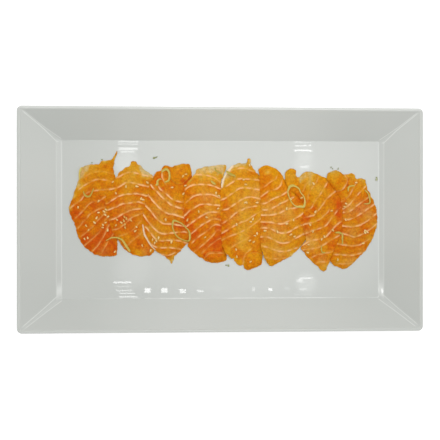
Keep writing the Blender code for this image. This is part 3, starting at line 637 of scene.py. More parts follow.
def set_inputs(node, inputs):
    """Sets each named input to a constant, or links it to a value."""
    for name, value in inputs.items():
        if isinstance(value, Value):
            value.tree.links.new(value.socket, node.inputs[name])
        else:
            node.inputs[name].default_value = value


def add_node(tree, kind, inputs, output=0, **settings):
    """The value that a new node gives."""
    node = tree.nodes.new("ShaderNode" + kind)
    for name, setting in settings.items():
        setattr(node, name, setting)
    set_inputs(node, inputs)
    return Value(tree, node.outputs[output])


def smooth_step(value, start, end):
    """0 before start and 1 after end, or the other way round if start is the larger."""
    inputs = {"Value": value, "From Min": start, "From Max": end}
    return add_node(value.tree, "MapRange", inputs, interpolation_type="SMOOTHSTEP")


def window(value, start, full, fade, end):
    """1 between full and fade, and 0 before start and after end."""
    return smooth_step(value, start, full) * smooth_step(value, end, fade)


def mix(share, first, second):
    """A colour between two others."""
    inputs = {"Factor": share, "A": first, "B": second}
    return add_node(share.tree, "Mix", inputs, "Result", data_type="RGBA")


def scale(colour, factor):
    """A colour made brighter or darker."""
    return add_node(colour.tree, "VectorMath", {0: colour, "Scale": factor}, "Vector", operation="SCALE")


def split(vector):
    """A vector's three numbers."""
    node = vector.tree.nodes.new("ShaderNodeSeparateXYZ")
    set_inputs(node, {0: vector})
    return [Value(vector.tree, socket) for socket in node.outputs]


def join(x, y, z):
    """A vector from three numbers."""
    return add_node(x.tree, "CombineXYZ", {0: x, 1: y, 2: z})


def attribute(tree, name):
    """The three numbers that a mesh holds for each point under a name."""
    return split(add_node(tree, "Attribute", {}, "Vector", attribute_name=name))


def place(tree):
    """The point's place in the frame, in metres."""
    return add_node(tree, "TexCoord", {}, "Object")


def noise(vector, size, detail=2.0, roughness=0.5):
    """Noise from 0 to 1 whose blotches are about size millimetres across."""
    inputs = {"Vector": vector, "Scale": 1.0 / (size * MM), "Detail": detail, "Roughness": roughness}
    return add_node(vector.tree, "TexNoise", inputs, "Fac")


def swing(field, reach):
    """A field of 0 to 1 made into one of reach, centred on 0."""
    return (field - 0.5) * reach


def bump(height, depth):
    """A normal from a height of 0 to 1 that stands for depth millimetres."""
    return add_node(height.tree, "Bump", {"Height": height, "Distance": depth * MM})


# Materials

PORCELAIN = (0.575, 0.590, 0.560, 1.0)
PORCELAIN_THICK = (0.550, 0.572, 0.542, 1.0)
PORCELAIN_HIGHLIGHT = (0.850, 0.865, 0.830, 1.0)
PORCELAIN_SHADE = (0.300, 0.310, 0.290, 1.0)
ORANGE = (0.665, 0.180, 0.001, 1.0)
RED = (0.620, 0.090, 0.001, 1.0)
GOLD = (0.700, 0.295, 0.004, 1.0)
AMBER = (0.700, 0.350, 0.025, 1.0)
PALE = (0.660, 0.440, 0.140, 1.0)
CLEAR = (0.660, 0.560, 0.330, 1.0)
HAZE = (0.700, 0.350, 0.080, 1.0)
BROWN_EDGE_SHADE = (0.440, 0.130, 0.002, 1.0)
FAT = (0.940, 0.550, 0.250, 1.0)
FAT_GOLD = (0.860, 0.460, 0.110, 1.0)
CREAM = (0.880, 0.690, 0.460, 1.0)
ONION_GREEN = (0.470, 0.350, 0.030, 1.0)
ONION_YELLOW = (0.720, 0.560, 0.130, 1.0)
SEED_CREAM = (0.920, 0.680, 0.290, 1.0)
SEED_GOLD = (0.720, 0.390, 0.060, 1.0)
SEED_SHADE_BROWN = (0.360, 0.160, 0.020, 1.0)
HERB = (0.260, 0.280, 0.110, 1.0)
HERB_DRY = (0.560, 0.580, 0.360, 1.0)
FLOOR = (0.50, 0.50, 0.50, 1.0)
WHITE = (1.0, 1.0, 1.0, 1.0)

# A line of fat: how far from its middle it is solid and where it ends, and how far the milky haze above
# it and the band below it reach, the band being redder flesh and painted groove shade
FAT_CORE = 0.3
FAT_WIDTH = 1.1
FAT_HAZE = 3.0
FAT_SHADE = 3.6


def new_material(name):
    """A material with its node tree and its Principled shader."""
    made = bpy.data.materials.new(name)
    made.use_nodes = True
    return made, made.node_tree, made.node_tree.nodes["Principled BSDF"]


def porcelain_material():
    """A clear glaze over slightly cloudy clay, with highlights and shade painted in where the mesh says
    so.
    """
    made, tree, shader = new_material("porcelain_glazed")
    spot = place(tree)
    light, painted_shade, _ = attribute(tree, "glaze")
    body = mix(noise(spot, 60.0), PORCELAIN, PORCELAIN_THICK)
    # Painted highlights along the platter's edges
    body = mix(light, body, PORCELAIN_HIGHLIGHT)
    # Painted shade where the glaze rolls over the lip and on the left bevel's face
    set_inputs(shader, {
        "Base Color": mix(painted_shade, body, PORCELAIN_SHADE),
        "Roughness": noise(spot, 9.0, 3.0) * 0.01 + 0.01,
        "Normal": bump(noise(spot, 22.0, 1.0), 0.004),
        "Specular IOR Level": 0.5,
    })
    return made


def salmon_material():
    """Flesh that runs from red to gold, crossed by soft lines of fat, wet and a little translucent."""
    made, tree, shader = new_material("salmon_raw")
    gold, pale, cream = attribute(tree, "tone")
    band, gap, strength = attribute(tree, "band")
    depth, doubled, fold = attribute(tree, "body")
    shade, milk, _ = attribute(tree, "shade")
    spot = place(tree)
    cloud = noise(spot, 11.0)
    mottle = noise(spot, 3.4, 2.0, 0.6)
    fleck = noise(spot, 1.8, 2.0, 0.6)
    grain = noise(spot, 0.9, 3.0, 0.6)
    streak = noise(join(band * 0.006, 0.0, split(spot)[0] * 0.15), 0.9, 3.0, 0.6)

    # How far past the nearest line of fat, negative above it, with a ragged edge
    past = (band - band.calc("ROUND")) * gap + swing(noise(spot, 2.4), 1.1)
    fat = smooth_step(past.calc("ABSOLUTE"), FAT_WIDTH, FAT_CORE) * strength
    above = window(past, -FAT_HAZE, -0.3, 0.2, 0.9) * strength
    below = window(past, 0.0, 0.7, 0.9, FAT_SHADE) * strength

    # Red where it is less than 0 and golden above
    golden = gold + swing(cloud, 3.0) + swing(mottle, 2.4) + swing(streak, 1.2)
    # Redder where the slice lies doubled, and darker red as painted shade below each line of fat and as a
    # painted shadow just outside a fold's edge
    golden = golden - doubled * 0.35 - below * 0.7 - window(fold, -2.2, -0.2, -0.1, 0.3) * 0.7
    flesh = mix((golden * -0.8).clamped(), ORANGE, RED)
    flesh = mix((golden * 0.8).clamped(), flesh, GOLD)

    # Thin edges let the white platter through; along thick ones a brown shade is painted
    thin = (smooth_step(depth, 3.5, 0.0) * 0.7 + 0.8) * pale * (mottle * 1.4 + 0.3)
    thick = (pale * 1.6 + doubled).flipped()
    flesh = mix(smooth_step(depth, 1.5, 0.2) * thick * mottle * 0.4, flesh, BROWN_EDGE_SHADE)
    flesh = mix(smooth_step(depth, 1.1, 0.2) * doubled.flipped() * 0.4, flesh, AMBER)
    thin = thin.clamped() * 2.0
    flesh = mix(thin.clamped(), flesh, AMBER)
    flesh = mix((thin - 1.0).clamped(), flesh, PALE)
    flesh = mix(smooth_step(pale, 0.6, 1.15) * mottle * 0.7, flesh, CLEAR)

    # Milky above each line of fat and in spots, and a painted highlight along a fold's edge
    fold_highlight = smooth_step((fold - 0.5).calc("ABSOLUTE"), 0.8, 0.1)
    haze = above * 0.42 + fold_highlight * 0.2 + milk * mottle
    flesh = scale(mix(haze.clamped(), flesh, HAZE), fleck * 0.7 + mottle * 0.4 + 0.42)

    line = mix(smooth_step(strength, 0.7, 0.35), FAT, FAT_GOLD)
    colour = mix((fat * 0.85).clamped(), flesh, line)
    # The colour is scaled by each slice's painted light and shade
    set_inputs(shader, {
        "Base Color": scale(mix(cream, colour, CREAM), shade),
        "Roughness": grain * 0.2 + 0.3,
        "Normal": bump(streak * 0.6 + grain * 0.4, 0.16),
        "Specular IOR Level": 0.07,
        "Subsurface Weight": 0.12,
        "Subsurface Radius": (1.0, 0.4, 0.15),
        "Subsurface Scale": 0.8 * MM,
    })
    return made


def onion_material():
    """Pale yellow flesh with a green skin side and fine veins along it."""
    made, tree, shader = new_material("spring_onion_cut")
    side, along, yellow = attribute(tree, "strip")
    streak = noise(join(side * 0.004, along * 0.0008, yellow), 0.9)
    share = side * 0.3 + swing(streak, 0.6) + swing(noise(place(tree), 4.0), 0.8) + yellow
    set_inputs(shader, {
        "Base Color": mix(share.clamped(), ONION_GREEN, ONION_YELLOW),
        "Roughness": streak * 0.2 + 0.3,
        "Normal": bump(streak, 0.12),
        "Subsurface Weight": 0.2,
        "Subsurface Radius": (0.8, 0.9, 0.3),
        "Subsurface Scale": 0.6 * MM,
    })
    return made


def seed_material():
    """Toasted cream, browner on some seeds and towards the pointed end, with brown shade painted low on
    the sides.
    """
    made, tree, shader = new_material("sesame_toasted")
    toast, along, low = attribute(tree, "seed")
    cloud = noise(place(tree), 0.7, 3.0)
    share = along * 0.25 + toast * 0.6 + swing(cloud, 0.4)
    colour = mix(share.clamped(), SEED_CREAM, SEED_GOLD)
    # Painted shade: brown low on each seed's sides
    set_inputs(shader, {
        "Base Color": mix(smooth_step(low, 0.08, 0.42), colour, SEED_SHADE_BROWN),
        "Roughness": cloud * 0.2 + 0.4,
        "Normal": bump(cloud, 0.06),
    })
    return made


def herb_material():
    """Grey-green, and paler where a flake is dry."""
    made, tree, shader = new_material("herb_dried")
    cloud = noise(place(tree), 0.8, 3.0)
    dry = attribute(tree, "crumb")[0] + swing(cloud, 0.6)
    set_inputs(shader, {
        "Base Color": mix(dry.clamped(), HERB, HERB_DRY),
        "Roughness": cloud * 0.2 + 0.65,
        "Normal": bump(cloud, 0.1),
    })
    return made


def floor_material():
    """Plain white that glows a little, so that the floor stays bright next to the platter."""
    made, _, shader = new_material("floor_white")
    set_inputs(shader, {
        "Base Color": FLOOR,
        "Roughness": 0.9,
        "Specular IOR Level": 0.1,
        "Emission Color": WHITE,
        "Emission Strength": 0.7,
    })
    return made


# Shapes


def add_mesh(name, points, faces, finish, values=None):
    """A smooth mesh object from points in millimetres, with up to three named values for each point."""
    mesh = bpy.data.meshes.new(name)
    mesh.from_pydata((np.asarray(points, float) * MM).tolist(), [], faces)
    mesh.shade_smooth()
    mesh.materials.append(finish)
    for key, numbers in (values or {}).items():
        padded = np.zeros((len(points), 3), np.float32)
        padded[:, : numbers.shape[1]] = numbers
        mesh.attributes.new(key, "FLOAT_VECTOR", "POINT").data.foreach_set("vector", padded.ravel())
    item = bpy.data.objects.new(name, mesh)
    bpy.context.scene.collection.objects.link(item)
    return item


def add_piece(item, slot, *nodes):
    """Makes an object ride on the platter's body, in place of CAD nodes if any are given."""
    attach(item, BODY)
    if nodes:
        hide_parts(*nodes)


def waves(points, length, seed, count=7):
    """A smooth random field of about -1 to 1 whose hills and dips are about length apart."""
    random = np.random.default_rng(seed)
    total = np.zeros(len(points))
    for _ in range(count):
        turn = random.uniform(0, 2 * math.pi)
        pitch = length * random.uniform(0.7, 1.4)
        phase = random.uniform(0, 2 * math.pi)
        run = points[:, 0] * math.cos(turn) + points[:, 1] * math.sin(turn)
        total += np.sin(run * 2 * math.pi / pitch + phase)
    return total / math.sqrt(count)


def ease(value):
    """A smooth step from 0 to 1."""
    value = np.clip(value, 0, 1)
    return value * value * (3 - 2 * value)


def bend(start, corner, end, steps):
    """Points on a smooth bend from start to end that leans towards the corner, without the start."""
    points = []
    for step in range(1, steps + 1):
        t = step / steps
        points.append(tuple(
            (1 - t) ** 2 * a + 2 * t * (1 - t) * b + t * t * c for a, b, c in zip(start, corner, end)
        ))
    return points


def smooth_line(corners, step, closed):
    """Points about one step apart on the smooth curve through the corners."""
    corners = np.array(corners, float)
    count = len(corners)
    if closed:
        ends = [corners[-1], *corners, corners[0], corners[1]]
    else:
        ends = [2 * corners[0] - corners[1], *corners, 2 * corners[-1] - corners[-2]]
    points = []
    for i in range(count if closed else count - 1):
        before, start, end, after = ends[i : i + 4]
        length = np.linalg.norm(end - start)
        knots = np.sqrt([max(np.linalg.norm(start - before), 1.0), length, np.linalg.norm(after - end)])
        leave = (start - before) / knots[0] - (end - before) / (knots[0] + knots[1])
        leave = (leave + (end - start) / knots[1]) * knots[1]
        arrive = (end - start) / knots[1] - (after - start) / (knots[1] + knots[2])
        arrive = (arrive + (after - end) / max(knots[2], 1.0)) * knots[1]
        pieces = max(1, round(length / step))
        for t in np.arange(pieces) / pieces:
            points.append(
                (2 * t**3 - 3 * t**2 + 1) * start
                + (t**3 - 2 * t**2 + t) * leave
                + (3 * t**2 - 2 * t**3) * end
                + (t**3 - t**2) * arrive
            )
    if not closed:
        points.append(corners[-1])
    return np.array(points)


def distance_to(line, points, closed=False):
    """How far each point is from a line through some points."""
    starts = line if closed else line[:-1]
    ends = np.roll(line, -1, axis=0) if closed else line[1:]
    nearest = np.full(len(points), np.inf)
    for start, end in zip(starts, ends):
        along = end - start
        share = np.clip((points - start) @ along / max(along @ along, 1e-9), 0, 1)
        offset = points - start - share[:, None] * along
        nearest = np.minimum(nearest, np.einsum("ij,ij->i", offset, offset))
    return np.sqrt(nearest)


def depth_inside(outline, points):
    """How far each point lies inside a closed outline; negative outside."""
    inside = np.zeros(len(points), bool)
    for start, end in zip(outline, np.roll(outline, -1, axis=0)):
        crosses = (start[1] > points[:, 1]) != (end[1] > points[:, 1])
        rise = end[1] - start[1]
        meets = start[0] + (points[:, 1] - start[1]) * (end[0] - start[0]) / (rise if rise else 1.0)
        inside ^= crosses & (points[:, 0] < meets)
    nearest = distance_to(outline, points, closed=True)
    return np.where(inside, nearest, -nearest)


def inward(outline):
    """Unit vectors that point into a clockwise outline."""
    along = np.roll(outline, -1, axis=0) - np.roll(outline, 1, axis=0)
    along /= np.linalg.norm(along, axis=1)[:, None]
    return np.stack([along[:, 1], -along[:, 0]], axis=1)


def band(first, second, count):
    """Quads that join two loops of the same number of points, given where each loop starts."""
    return [
        (first + i, first + (i + 1) % count, second + (i + 1) % count, second + i)
        for i in range(count)
    ]


# Platter


def platter_profile():
    """How far in from the outer edge, as a share of the rim's width, and how high: from the middle of
    the well over the rim and back under it to the recess inside the foot."""
    top = PLATTER_HEIGHT
    head = top - LIP_DROP
    foot = WELL_FLOOR + BEVEL_HEIGHT
    slope = (head - foot) / (BEVEL_TOP - LIP_SHARE)
    bevel_slope = BEVEL_HEIGHT / (BEVEL_FOOT - BEVEL_TOP)
    under = RIM_THICKNESS + 0.3
    turn = BEVEL_ROUND
    profile = [(share, WELL_FLOOR) for share in (*WELL_SHARES, BEVEL_FOOT + 2 * turn, BEVEL_FOOT + turn)]
    above_foot = (BEVEL_FOOT - turn, WELL_FLOOR + turn * bevel_slope)
    profile += bend((BEVEL_FOOT + turn, WELL_FLOOR), (BEVEL_FOOT, WELL_FLOOR), above_foot, 4)
    below_top = (BEVEL_TOP + turn, foot - turn * bevel_slope)
    for share in (BEVEL_FOOT - 2 * turn, 1.0, BEVEL_TOP + 2 * turn, BEVEL_TOP + turn):
        profile.append((share, WELL_FLOOR + (BEVEL_FOOT - share) * bevel_slope))
    profile += bend(below_top, (BEVEL_TOP, foot), (BEVEL_TOP - turn, foot + turn * slope), 4)
    for share in (BEVEL_TOP - 2 * turn, *RIM_SHARES):
        profile.append((share, foot + (BEVEL_TOP - share) * slope))
    profile += bend(profile[-1], (LIP_SHARE, head), (0.09, head + 0.3), 3)
    profile += bend((0.09, head + 0.3), (0.082, top), (0.065, top), 5)
    profile.append((0.045, top))
    profile += bend((0.03, top), (0.0, top), (0.0, top - LIP_TURN), 8)
    profile += bend((0.0, top - LIP_TURN), (0.0, top - 3.2), (0.06, top - under), 5)
    for share in UNDER_SHARES:
        profile.append((share, top - under - (share - 0.06) * (head - WELL_FLOOR) / (1.0 - LIP_SHARE)))
    profile += bend(profile[-1], (1.02, FOOT_HEIGHT), (1.06, FOOT_HEIGHT - 0.3), 5)
    profile += bend((1.06, FOOT_HEIGHT - 0.3), (1.09, 0.0), (1.13, 0.0), 6)
    profile += [(1.19, 0.0), (1.25, 0.0)]
    profile += bend((1.25, 0.0), (1.29, 0.0), (1.31, FOOT_HEIGHT - 0.5), 6)
    profile += [(1.33, FOOT_HEIGHT), (1.6, FOOT_HEIGHT + 0.2)]
    return profile


def long_side_share(share):
    """The share of the rim's width where a place on the profile lies along the long sides."""
    return float(np.interp(share, [0, BEVEL_TOP, BEVEL_FOOT, 4], [0, LONG_BEVEL_TOP, LONG_BEVEL_FOOT, 4]))


def side_places(steps):
    """Shares along a straight side, closer together towards its ends."""
    return [(1 - math.cos(math.pi * step / steps)) / 2 for step in range(1, steps)]


def platter_loop(half_length, half_width, radii):
    """Points round a rectangle with round corners, anticlockwise, each with how far it lies from the
    nearest place where a corner's curve starts. The back and the front corners have their own radius."""
    corners = [(1, 1, 0.0), (-1, 1, 90.0), (-1, -1, 180.0), (1, -1, 270.0)]
    spots = []
    for side_x, side_y, start in corners:
        radius = radii[0] if side_y > 0 else radii[1]
        for step in range(CORNER_STEPS + 1):
            turn = math.radians(start + 90.0 * step / CORNER_STEPS)
            x = side_x * (half_length - radius) + radius * math.cos(turn)
            y = side_y * (half_width - radius) + radius * math.sin(turn)
            away = radius * math.radians(90.0) * min(step, CORNER_STEPS - step) / CORNER_STEPS
            spots.append((x, y, away))
        along_x = side_x == side_y
        from_x, from_y, _ = spots[-1]
        next_radius = radii[1] if side_x < 0 else radii[0]
        to_x = -from_x if along_x else from_x
        to_y = from_y if along_x else -side_y * (half_width - next_radius)
        length = math.hypot(to_x - from_x, to_y - from_y)
        for share in side_places(LONG_SIDE_STEPS if along_x else SHORT_SIDE_STEPS):
            x = from_x + (to_x - from_x) * share
            y = from_y + (to_y - from_y) * share
            spots.append((x, y, length * min(share, 1 - share)))
    return np.array(spots)


def corner_radii(share):
    """The radius of the back corners and of the front ones at a place on the profile."""
    return [float(np.interp(share, CORNER_PLACES, radii)) for radii in (BACK_CORNERS, FRONT_CORNERS)]


def by_side(spots, half_length, half_width, values):
    """For each point, the value of the side of the platter that it lies on."""
    along = half_width - np.abs(spots[:, 1]) < half_length - np.abs(spots[:, 0])
    long_side = np.where(spots[:, 1] > 0, values["back"], values["front"])
    return np.where(along, long_side, np.where(spots[:, 0] > 0, values["right"], values["left"]))


def make_platter():
    """The platter as loops of one profile, a little uneven. Fine beads run along both edges of each
    mitre's facet. Highlights are painted into the glaze there, along the edges of the bevels, along the
    foot of the long sides, on the lip and near the bevels' front corners; shade is painted where the
    glaze rolls over the lip at the front and on the left, and on the left bevel's face."""
    profile = platter_profile()
    peak = max(range(len(profile)), key=lambda i: profile[i][1])
    points = []
    glaze = []
    for number, (share, height) in enumerate(profile):
        half_length = PLATTER_LENGTH / 2 - share * RIM_LENGTH
        half_width = PLATTER_WIDTH / 2 - long_side_share(share) * RIM_WIDTH
        spots = platter_loop(half_length, half_width, corner_radii(share))
        rise = np.full(len(spots), height)
        # Painted highlight on the lip
        on_lip = ease((0.12 - share) / 0.03) * ease((height - PLATTER_HEIGHT + 1.6) / 0.3)
        light = on_lip * by_side(spots, half_length, half_width, LIP_HIGHLIGHTS)
        # Painted shade where the glaze rolls over the lip at the front and on the left
        rolled = ease((0.02 - share) / 0.015) * (number > peak)
        painted_shade = rolled * by_side(spots, half_length, half_width, LIP_SHADES)
        if number < peak:
            crease = ease((share - LIP_SHARE) / 0.1) * ease((1.0 - share) / 0.04)
            bead = crease * np.exp(-((spots[:, 2] / CREASE_WIDTH) ** 2))
            rise += CREASE_RIDGE * bead
            on_rim = ease((share - LIP_SHARE) / 0.3) * ease((BEVEL_FOOT - share) / 0.15)
            rise += UNEVENNESS * on_rim * waves(spots, UNEVEN_LENGTH, 3)
            # Painted highlights along each mitre's beads, the bevels' edges, the long sides' foot and the
            # bevels' front corners
            at_end = ease((half_width - 1.0 - np.abs(spots[:, 1])) / 2.0)
            from_edge = min(abs(share - BEVEL_TOP), abs(share - BEVEL_FOOT)) * RIM_LENGTH
            end_highlight = END_BEVEL_HIGHLIGHT * at_end * math.exp(-((from_edge / CREASE_WIDTH) ** 2))
            from_foot = abs(share - BEVEL_FOOT) * RIM_LENGTH
            foot_highlight = np.where(spots[:, 1] > 0, FOOT_HIGHLIGHT_BACK, FOOT_HIGHLIGHT_FRONT) * (1 - at_end)
            foot_highlight *= math.exp(-((from_foot / CREASE_WIDTH) ** 2))
            foot_highlight *= np.clip(0.6 + 0.6 * waves(spots, 60.0, 9), 0, 1)
            on_bevel = at_end * ease((share - BEVEL_TOP) / 0.01) * ease((BEVEL_FOOT - share) / 0.01)
            from_corner = spots[:, 1] + half_width - CORNER_HIGHLIGHT_PLACE
            near_corner = np.exp(-((from_corner / CORNER_HIGHLIGHT_REACH) ** 2))
            corner_highlight = CORNER_HIGHLIGHT * on_bevel * near_corner
            # Painted shade on the left bevel's face, away from its front corner
            painted_shade = np.maximum(painted_shade, END_BEVEL_SHADE * on_bevel * (spots[:, 0] < 0) * (1 - near_corner))
            light = np.maximum.reduce([light, MITRE_HIGHLIGHT * bead, end_highlight, foot_highlight, corner_highlight])
        points.append(np.column_stack([spots[:, :2], rise]))
        glaze.append(np.column_stack([light, painted_shade]))
    count = len(points[0])
    faces = []
    for loop in range(len(profile) - 1):
        faces += band(loop * count, (loop + 1) * count, count)
    last = (len(profile) - 1) * count
    faces = [face[::-1] for face in faces]
    faces.append(tuple(range(count)))
    faces.append(tuple(range(last + count - 1, last - 1, -1)))
    values = {"glaze": np.concatenate(glaze)}
    item = add_mesh("platter_glazed", np.concatenate(points), faces, porcelain_material(), values)
    add_piece(item, "porcelain", "platter")


# Salmon


class Pile:
    """How high everything laid down so far reaches, on a grid of one millimetre over the well."""

    def __init__(self):
        self.low = np.array(PILE_LOW)
        self.size = PILE_CELLS
        self.top = np.full(self.size, WELL_FLOOR)

    def spots(self):
        """The place of every cell."""
        rows, columns = np.mgrid[0 : self.size[0], 0 : self.size[1]]
        return np.column_stack([columns.ravel() + self.low[0], rows.ravel() + self.low[1]]).astype(float)

    def raise_to(self, heights, where):
        """Raises some cells to new heights where these are higher."""
        flat = self.top.ravel()
        flat[where] = np.maximum(flat[where], heights)
        self.top = flat.reshape(self.size)

    def spread(self, reach, flat, fall):
        """The pile's height with every high place widened: level as far as flat, then falling away."""
        wide = self.top.copy()
        for dy in range(-reach, reach + 1):
            for dx in range(-reach, reach + 1):
                away = math.hypot(dx, dy)
                if away <= reach:
                    drop = fall * max(0.0, away - flat) ** 2
                    wide = np.maximum(wide, np.roll(self.top, (dy, dx), axis=(0, 1)) - drop)
        return wide

    def sheet(self):
        """The underside of a soft sheet laid over the pile."""
        soft = self.spread(SHEET_REACH, SHEET_FLAT, SHEET_BEND)
        for _ in range(SHEET_BLURS):
            soft = blur(soft)
        return np.maximum(soft, self.top) + PILE_GAP


def blur(grid):
    """Each cell averaged with its neighbours."""
    for axis in (0, 1):
        grid = 0.5 * grid + 0.25 * (np.roll(grid, 1, axis) + np.roll(grid, -1, axis))
    return grid


def sample(pile, grid, points):
    """The grid's value at each point, between its four nearest cells."""
    spot = points - pile.low
    cell = np.clip(np.floor(spot).astype(int), 0, np.array([pile.size[1] - 2, pile.size[0] - 2]))
    share = spot - cell
    x, y = cell[:, 0], cell[:, 1]
    lower = grid[y, x] * (1 - share[:, 0]) + grid[y, x + 1] * share[:, 0]
    upper = grid[y + 1, x] * (1 - share[:, 0]) + grid[y + 1, x + 1] * share[:, 0]
    return lower * (1 - share[:, 1]) + upper * share[:, 1]


def fat_field(lines, points):
    """A smooth number that is 0 on the first line, 1 on the next and so on, and how many millimetres
    one step of it takes, from a thin plate bent through the lines."""
    rows = [smooth_line(line, 5.0, closed=False) for line in lines]
    centres = np.concatenate(rows)
    values = np.concatenate([np.full(len(row), float(number)) for number, row in enumerate(rows)])
    middle = centres.mean(axis=0)

    def kernel(first, second):
        square = ((first[:, None] - second[None]) ** 2).sum(axis=2)
        return 0.5 * square * np.log(square + 1e-9)

    def flat(spots):
        return np.column_stack([np.ones(len(spots)), spots])

    centres = (centres - middle) / FAT_SCALE
    count = len(centres)
    table = np.zeros((count + 3, count + 3))
    table[:count, :count] = kernel(centres, centres) + FAT_SLACK * np.eye(count)
    table[:count, count:] = flat(centres)
    table[count:, :count] = flat(centres).T
    weights = np.linalg.solve(table, np.concatenate([values, np.zeros(3)]))

    def field(spots):
        spots = (spots - middle) / FAT_SCALE
        return kernel(spots, centres) @ weights[:count] + flat(spots) @ weights[count:]

    number = field(points)
    slope_x = (field(points + [0.25, 0]) - field(points - [0.25, 0])) / 0.5
    slope_y = (field(points + [0, 0.25]) - field(points - [0, 0.25])) / 0.5
    gap = 1.0 / np.maximum(np.hypot(slope_x, slope_y), 0.02)
    return number, gap


def fat_strength(shape, number, points):
    """1 along each line of fat, less on a faint one, and fading past a line's ends."""
    strength = np.zeros(len(points))
    nearest = np.round(number).astype(int)
    for index, line in enumerate(shape["fat"]):
        here = nearest == index
        away = distance_to(smooth_line(line, 2.0, closed=False), points[here])
        strength[here] = shape["strength"][index] * (1 - ease((away - FAT_END) / FAT_END_FADE))
    return strength * np.clip(FAT_STRENGTH + FAT_CHANGE * waves(points, 8.0, 300), 0.15, 1.1)


def spots_of(shape, key, points):
    """The sum of a slice's soft spots of one colour, each with an uneven outline."""
    total = np.zeros(len(points))
    for x, y, reach, amount in shape.get(key, ()):
        square = (points[:, 0] - x) ** 2 + (points[:, 1] - y) ** 2
        uneven = 1 + SPOT_UNEVENNESS * waves(points, 8.0, 400)
        total += amount * np.exp(-square * uneven / (SPOT_SIZE * reach) ** 2)
    return total


def by_height(points, values):
    """For each point, its value between those given at GOLD_PLACES."""
    return np.interp(-points[:, 1], [-place for place in GOLD_PLACES], values)


def golden_share(shape, points):
    """How golden the flesh is: 1 golden, 0 orange, -1 red."""
    share = by_height(points, shape["gold"])
    return share - RED_STRENGTH * spots_of(shape, "red", points)


def lies_over(height):
    """1 where a sheet at this height lies on another slice, 0 where it lies on the platter."""
    return ease((height - WELL_FLOOR - OVER_FROM) / OVER_FADE)


def inside_fold(shape, points):
    """How far each point lies inside the part that is folded double; negative outside."""
    if "fold" not in shape:
        return np.full(len(points), NO_FOLD)
    return depth_inside(smooth_line(shape["fold"], 2.0, closed=True), points)


def slice_heights(points, shape, outline, base, seed):
    """The heights of a slice's lower and upper surface, and how deep inside its edge each point is. The
    slice thins out towards its edge, most of all where it lies over another."""
    depth = depth_inside(outline, points)
    over = lies_over(base - PILE_GAP)
    inner = np.clip(depth / EDGE_ROUND, 0, 1)
    rounded = EDGE_THICKNESS + (1 - EDGE_THICKNESS) * np.sqrt(1 - (1 - inner) ** 2)
    thin = EDGE_TAPER_FREE + (EDGE_TAPER_OVER - EDGE_TAPER_FREE) * over
    full = SLICE_THICKNESS * (1 - UNEVEN_THICKNESS + UNEVEN_THICKNESS * waves(points, 26.0, seed))
    full *= thin + (1 - thin) * ease(depth / EDGE_TAPER_REACH)
    curl = EDGE_CURL * np.exp(-np.maximum(depth, 0) / CURL_REACH)
    curl *= 0.5 + 0.5 * waves(points, 17.0, seed + 50)
    lower = base + EDGE_LIFT * full * (1 - rounded) + np.maximum(curl, 0) * (1 - over)
    upper = lower + full * rounded
    inside = np.clip(inside_fold(shape, points) / FOLD_ROUND, 0, 1)
    upper += FOLD_HEIGHT * np.sqrt(1 - (1 - inside) ** 2) * ease(depth / FOLD_RISE)
    upper += UNEVEN_TOP * waves(points, 9.0, seed + 90) * ease(depth / 3.0)
    return lower, upper, depth


def triangles(outline, inner):
    """Triangles over an outline and the points in it, as indices into both together."""
    points = [Vector(point) for point in [*outline, *inner]]
    border = list(range(len(outline)))[::-1]
    made = delaunay_2d_cdt(points, [], [border], 1, 1e-6)
    source = [origin[0] for origin in made[3]]
    return [tuple(source[corner] for corner in face) for face in made[2]]


def inner_points(outline):
    """Rows of points close inside the edge, and an even triangular grid over the rest."""
    normals = inward(outline)
    kept = []
    for distance in EDGE_RINGS:
        row = outline + normals * distance
        kept.append(row[depth_inside(outline, row) > 0.9 * distance])
    low = outline.min(axis=0)
    high = outline.max(axis=0)
    row_height = GRID_STEP * math.sqrt(3) / 2
    grid = []
    for number, y in enumerate(np.arange(low[1], high[1], row_height)):
        for x in np.arange(low[0] + GRID_STEP / 2 * (number % 2), high[0], GRID_STEP):
            grid.append((x, y))
    grid = np.array(grid)
    kept.append(grid[depth_inside(outline, grid) > EDGE_RINGS[-1] + 0.5 * GRID_STEP])
    return np.concatenate(kept)


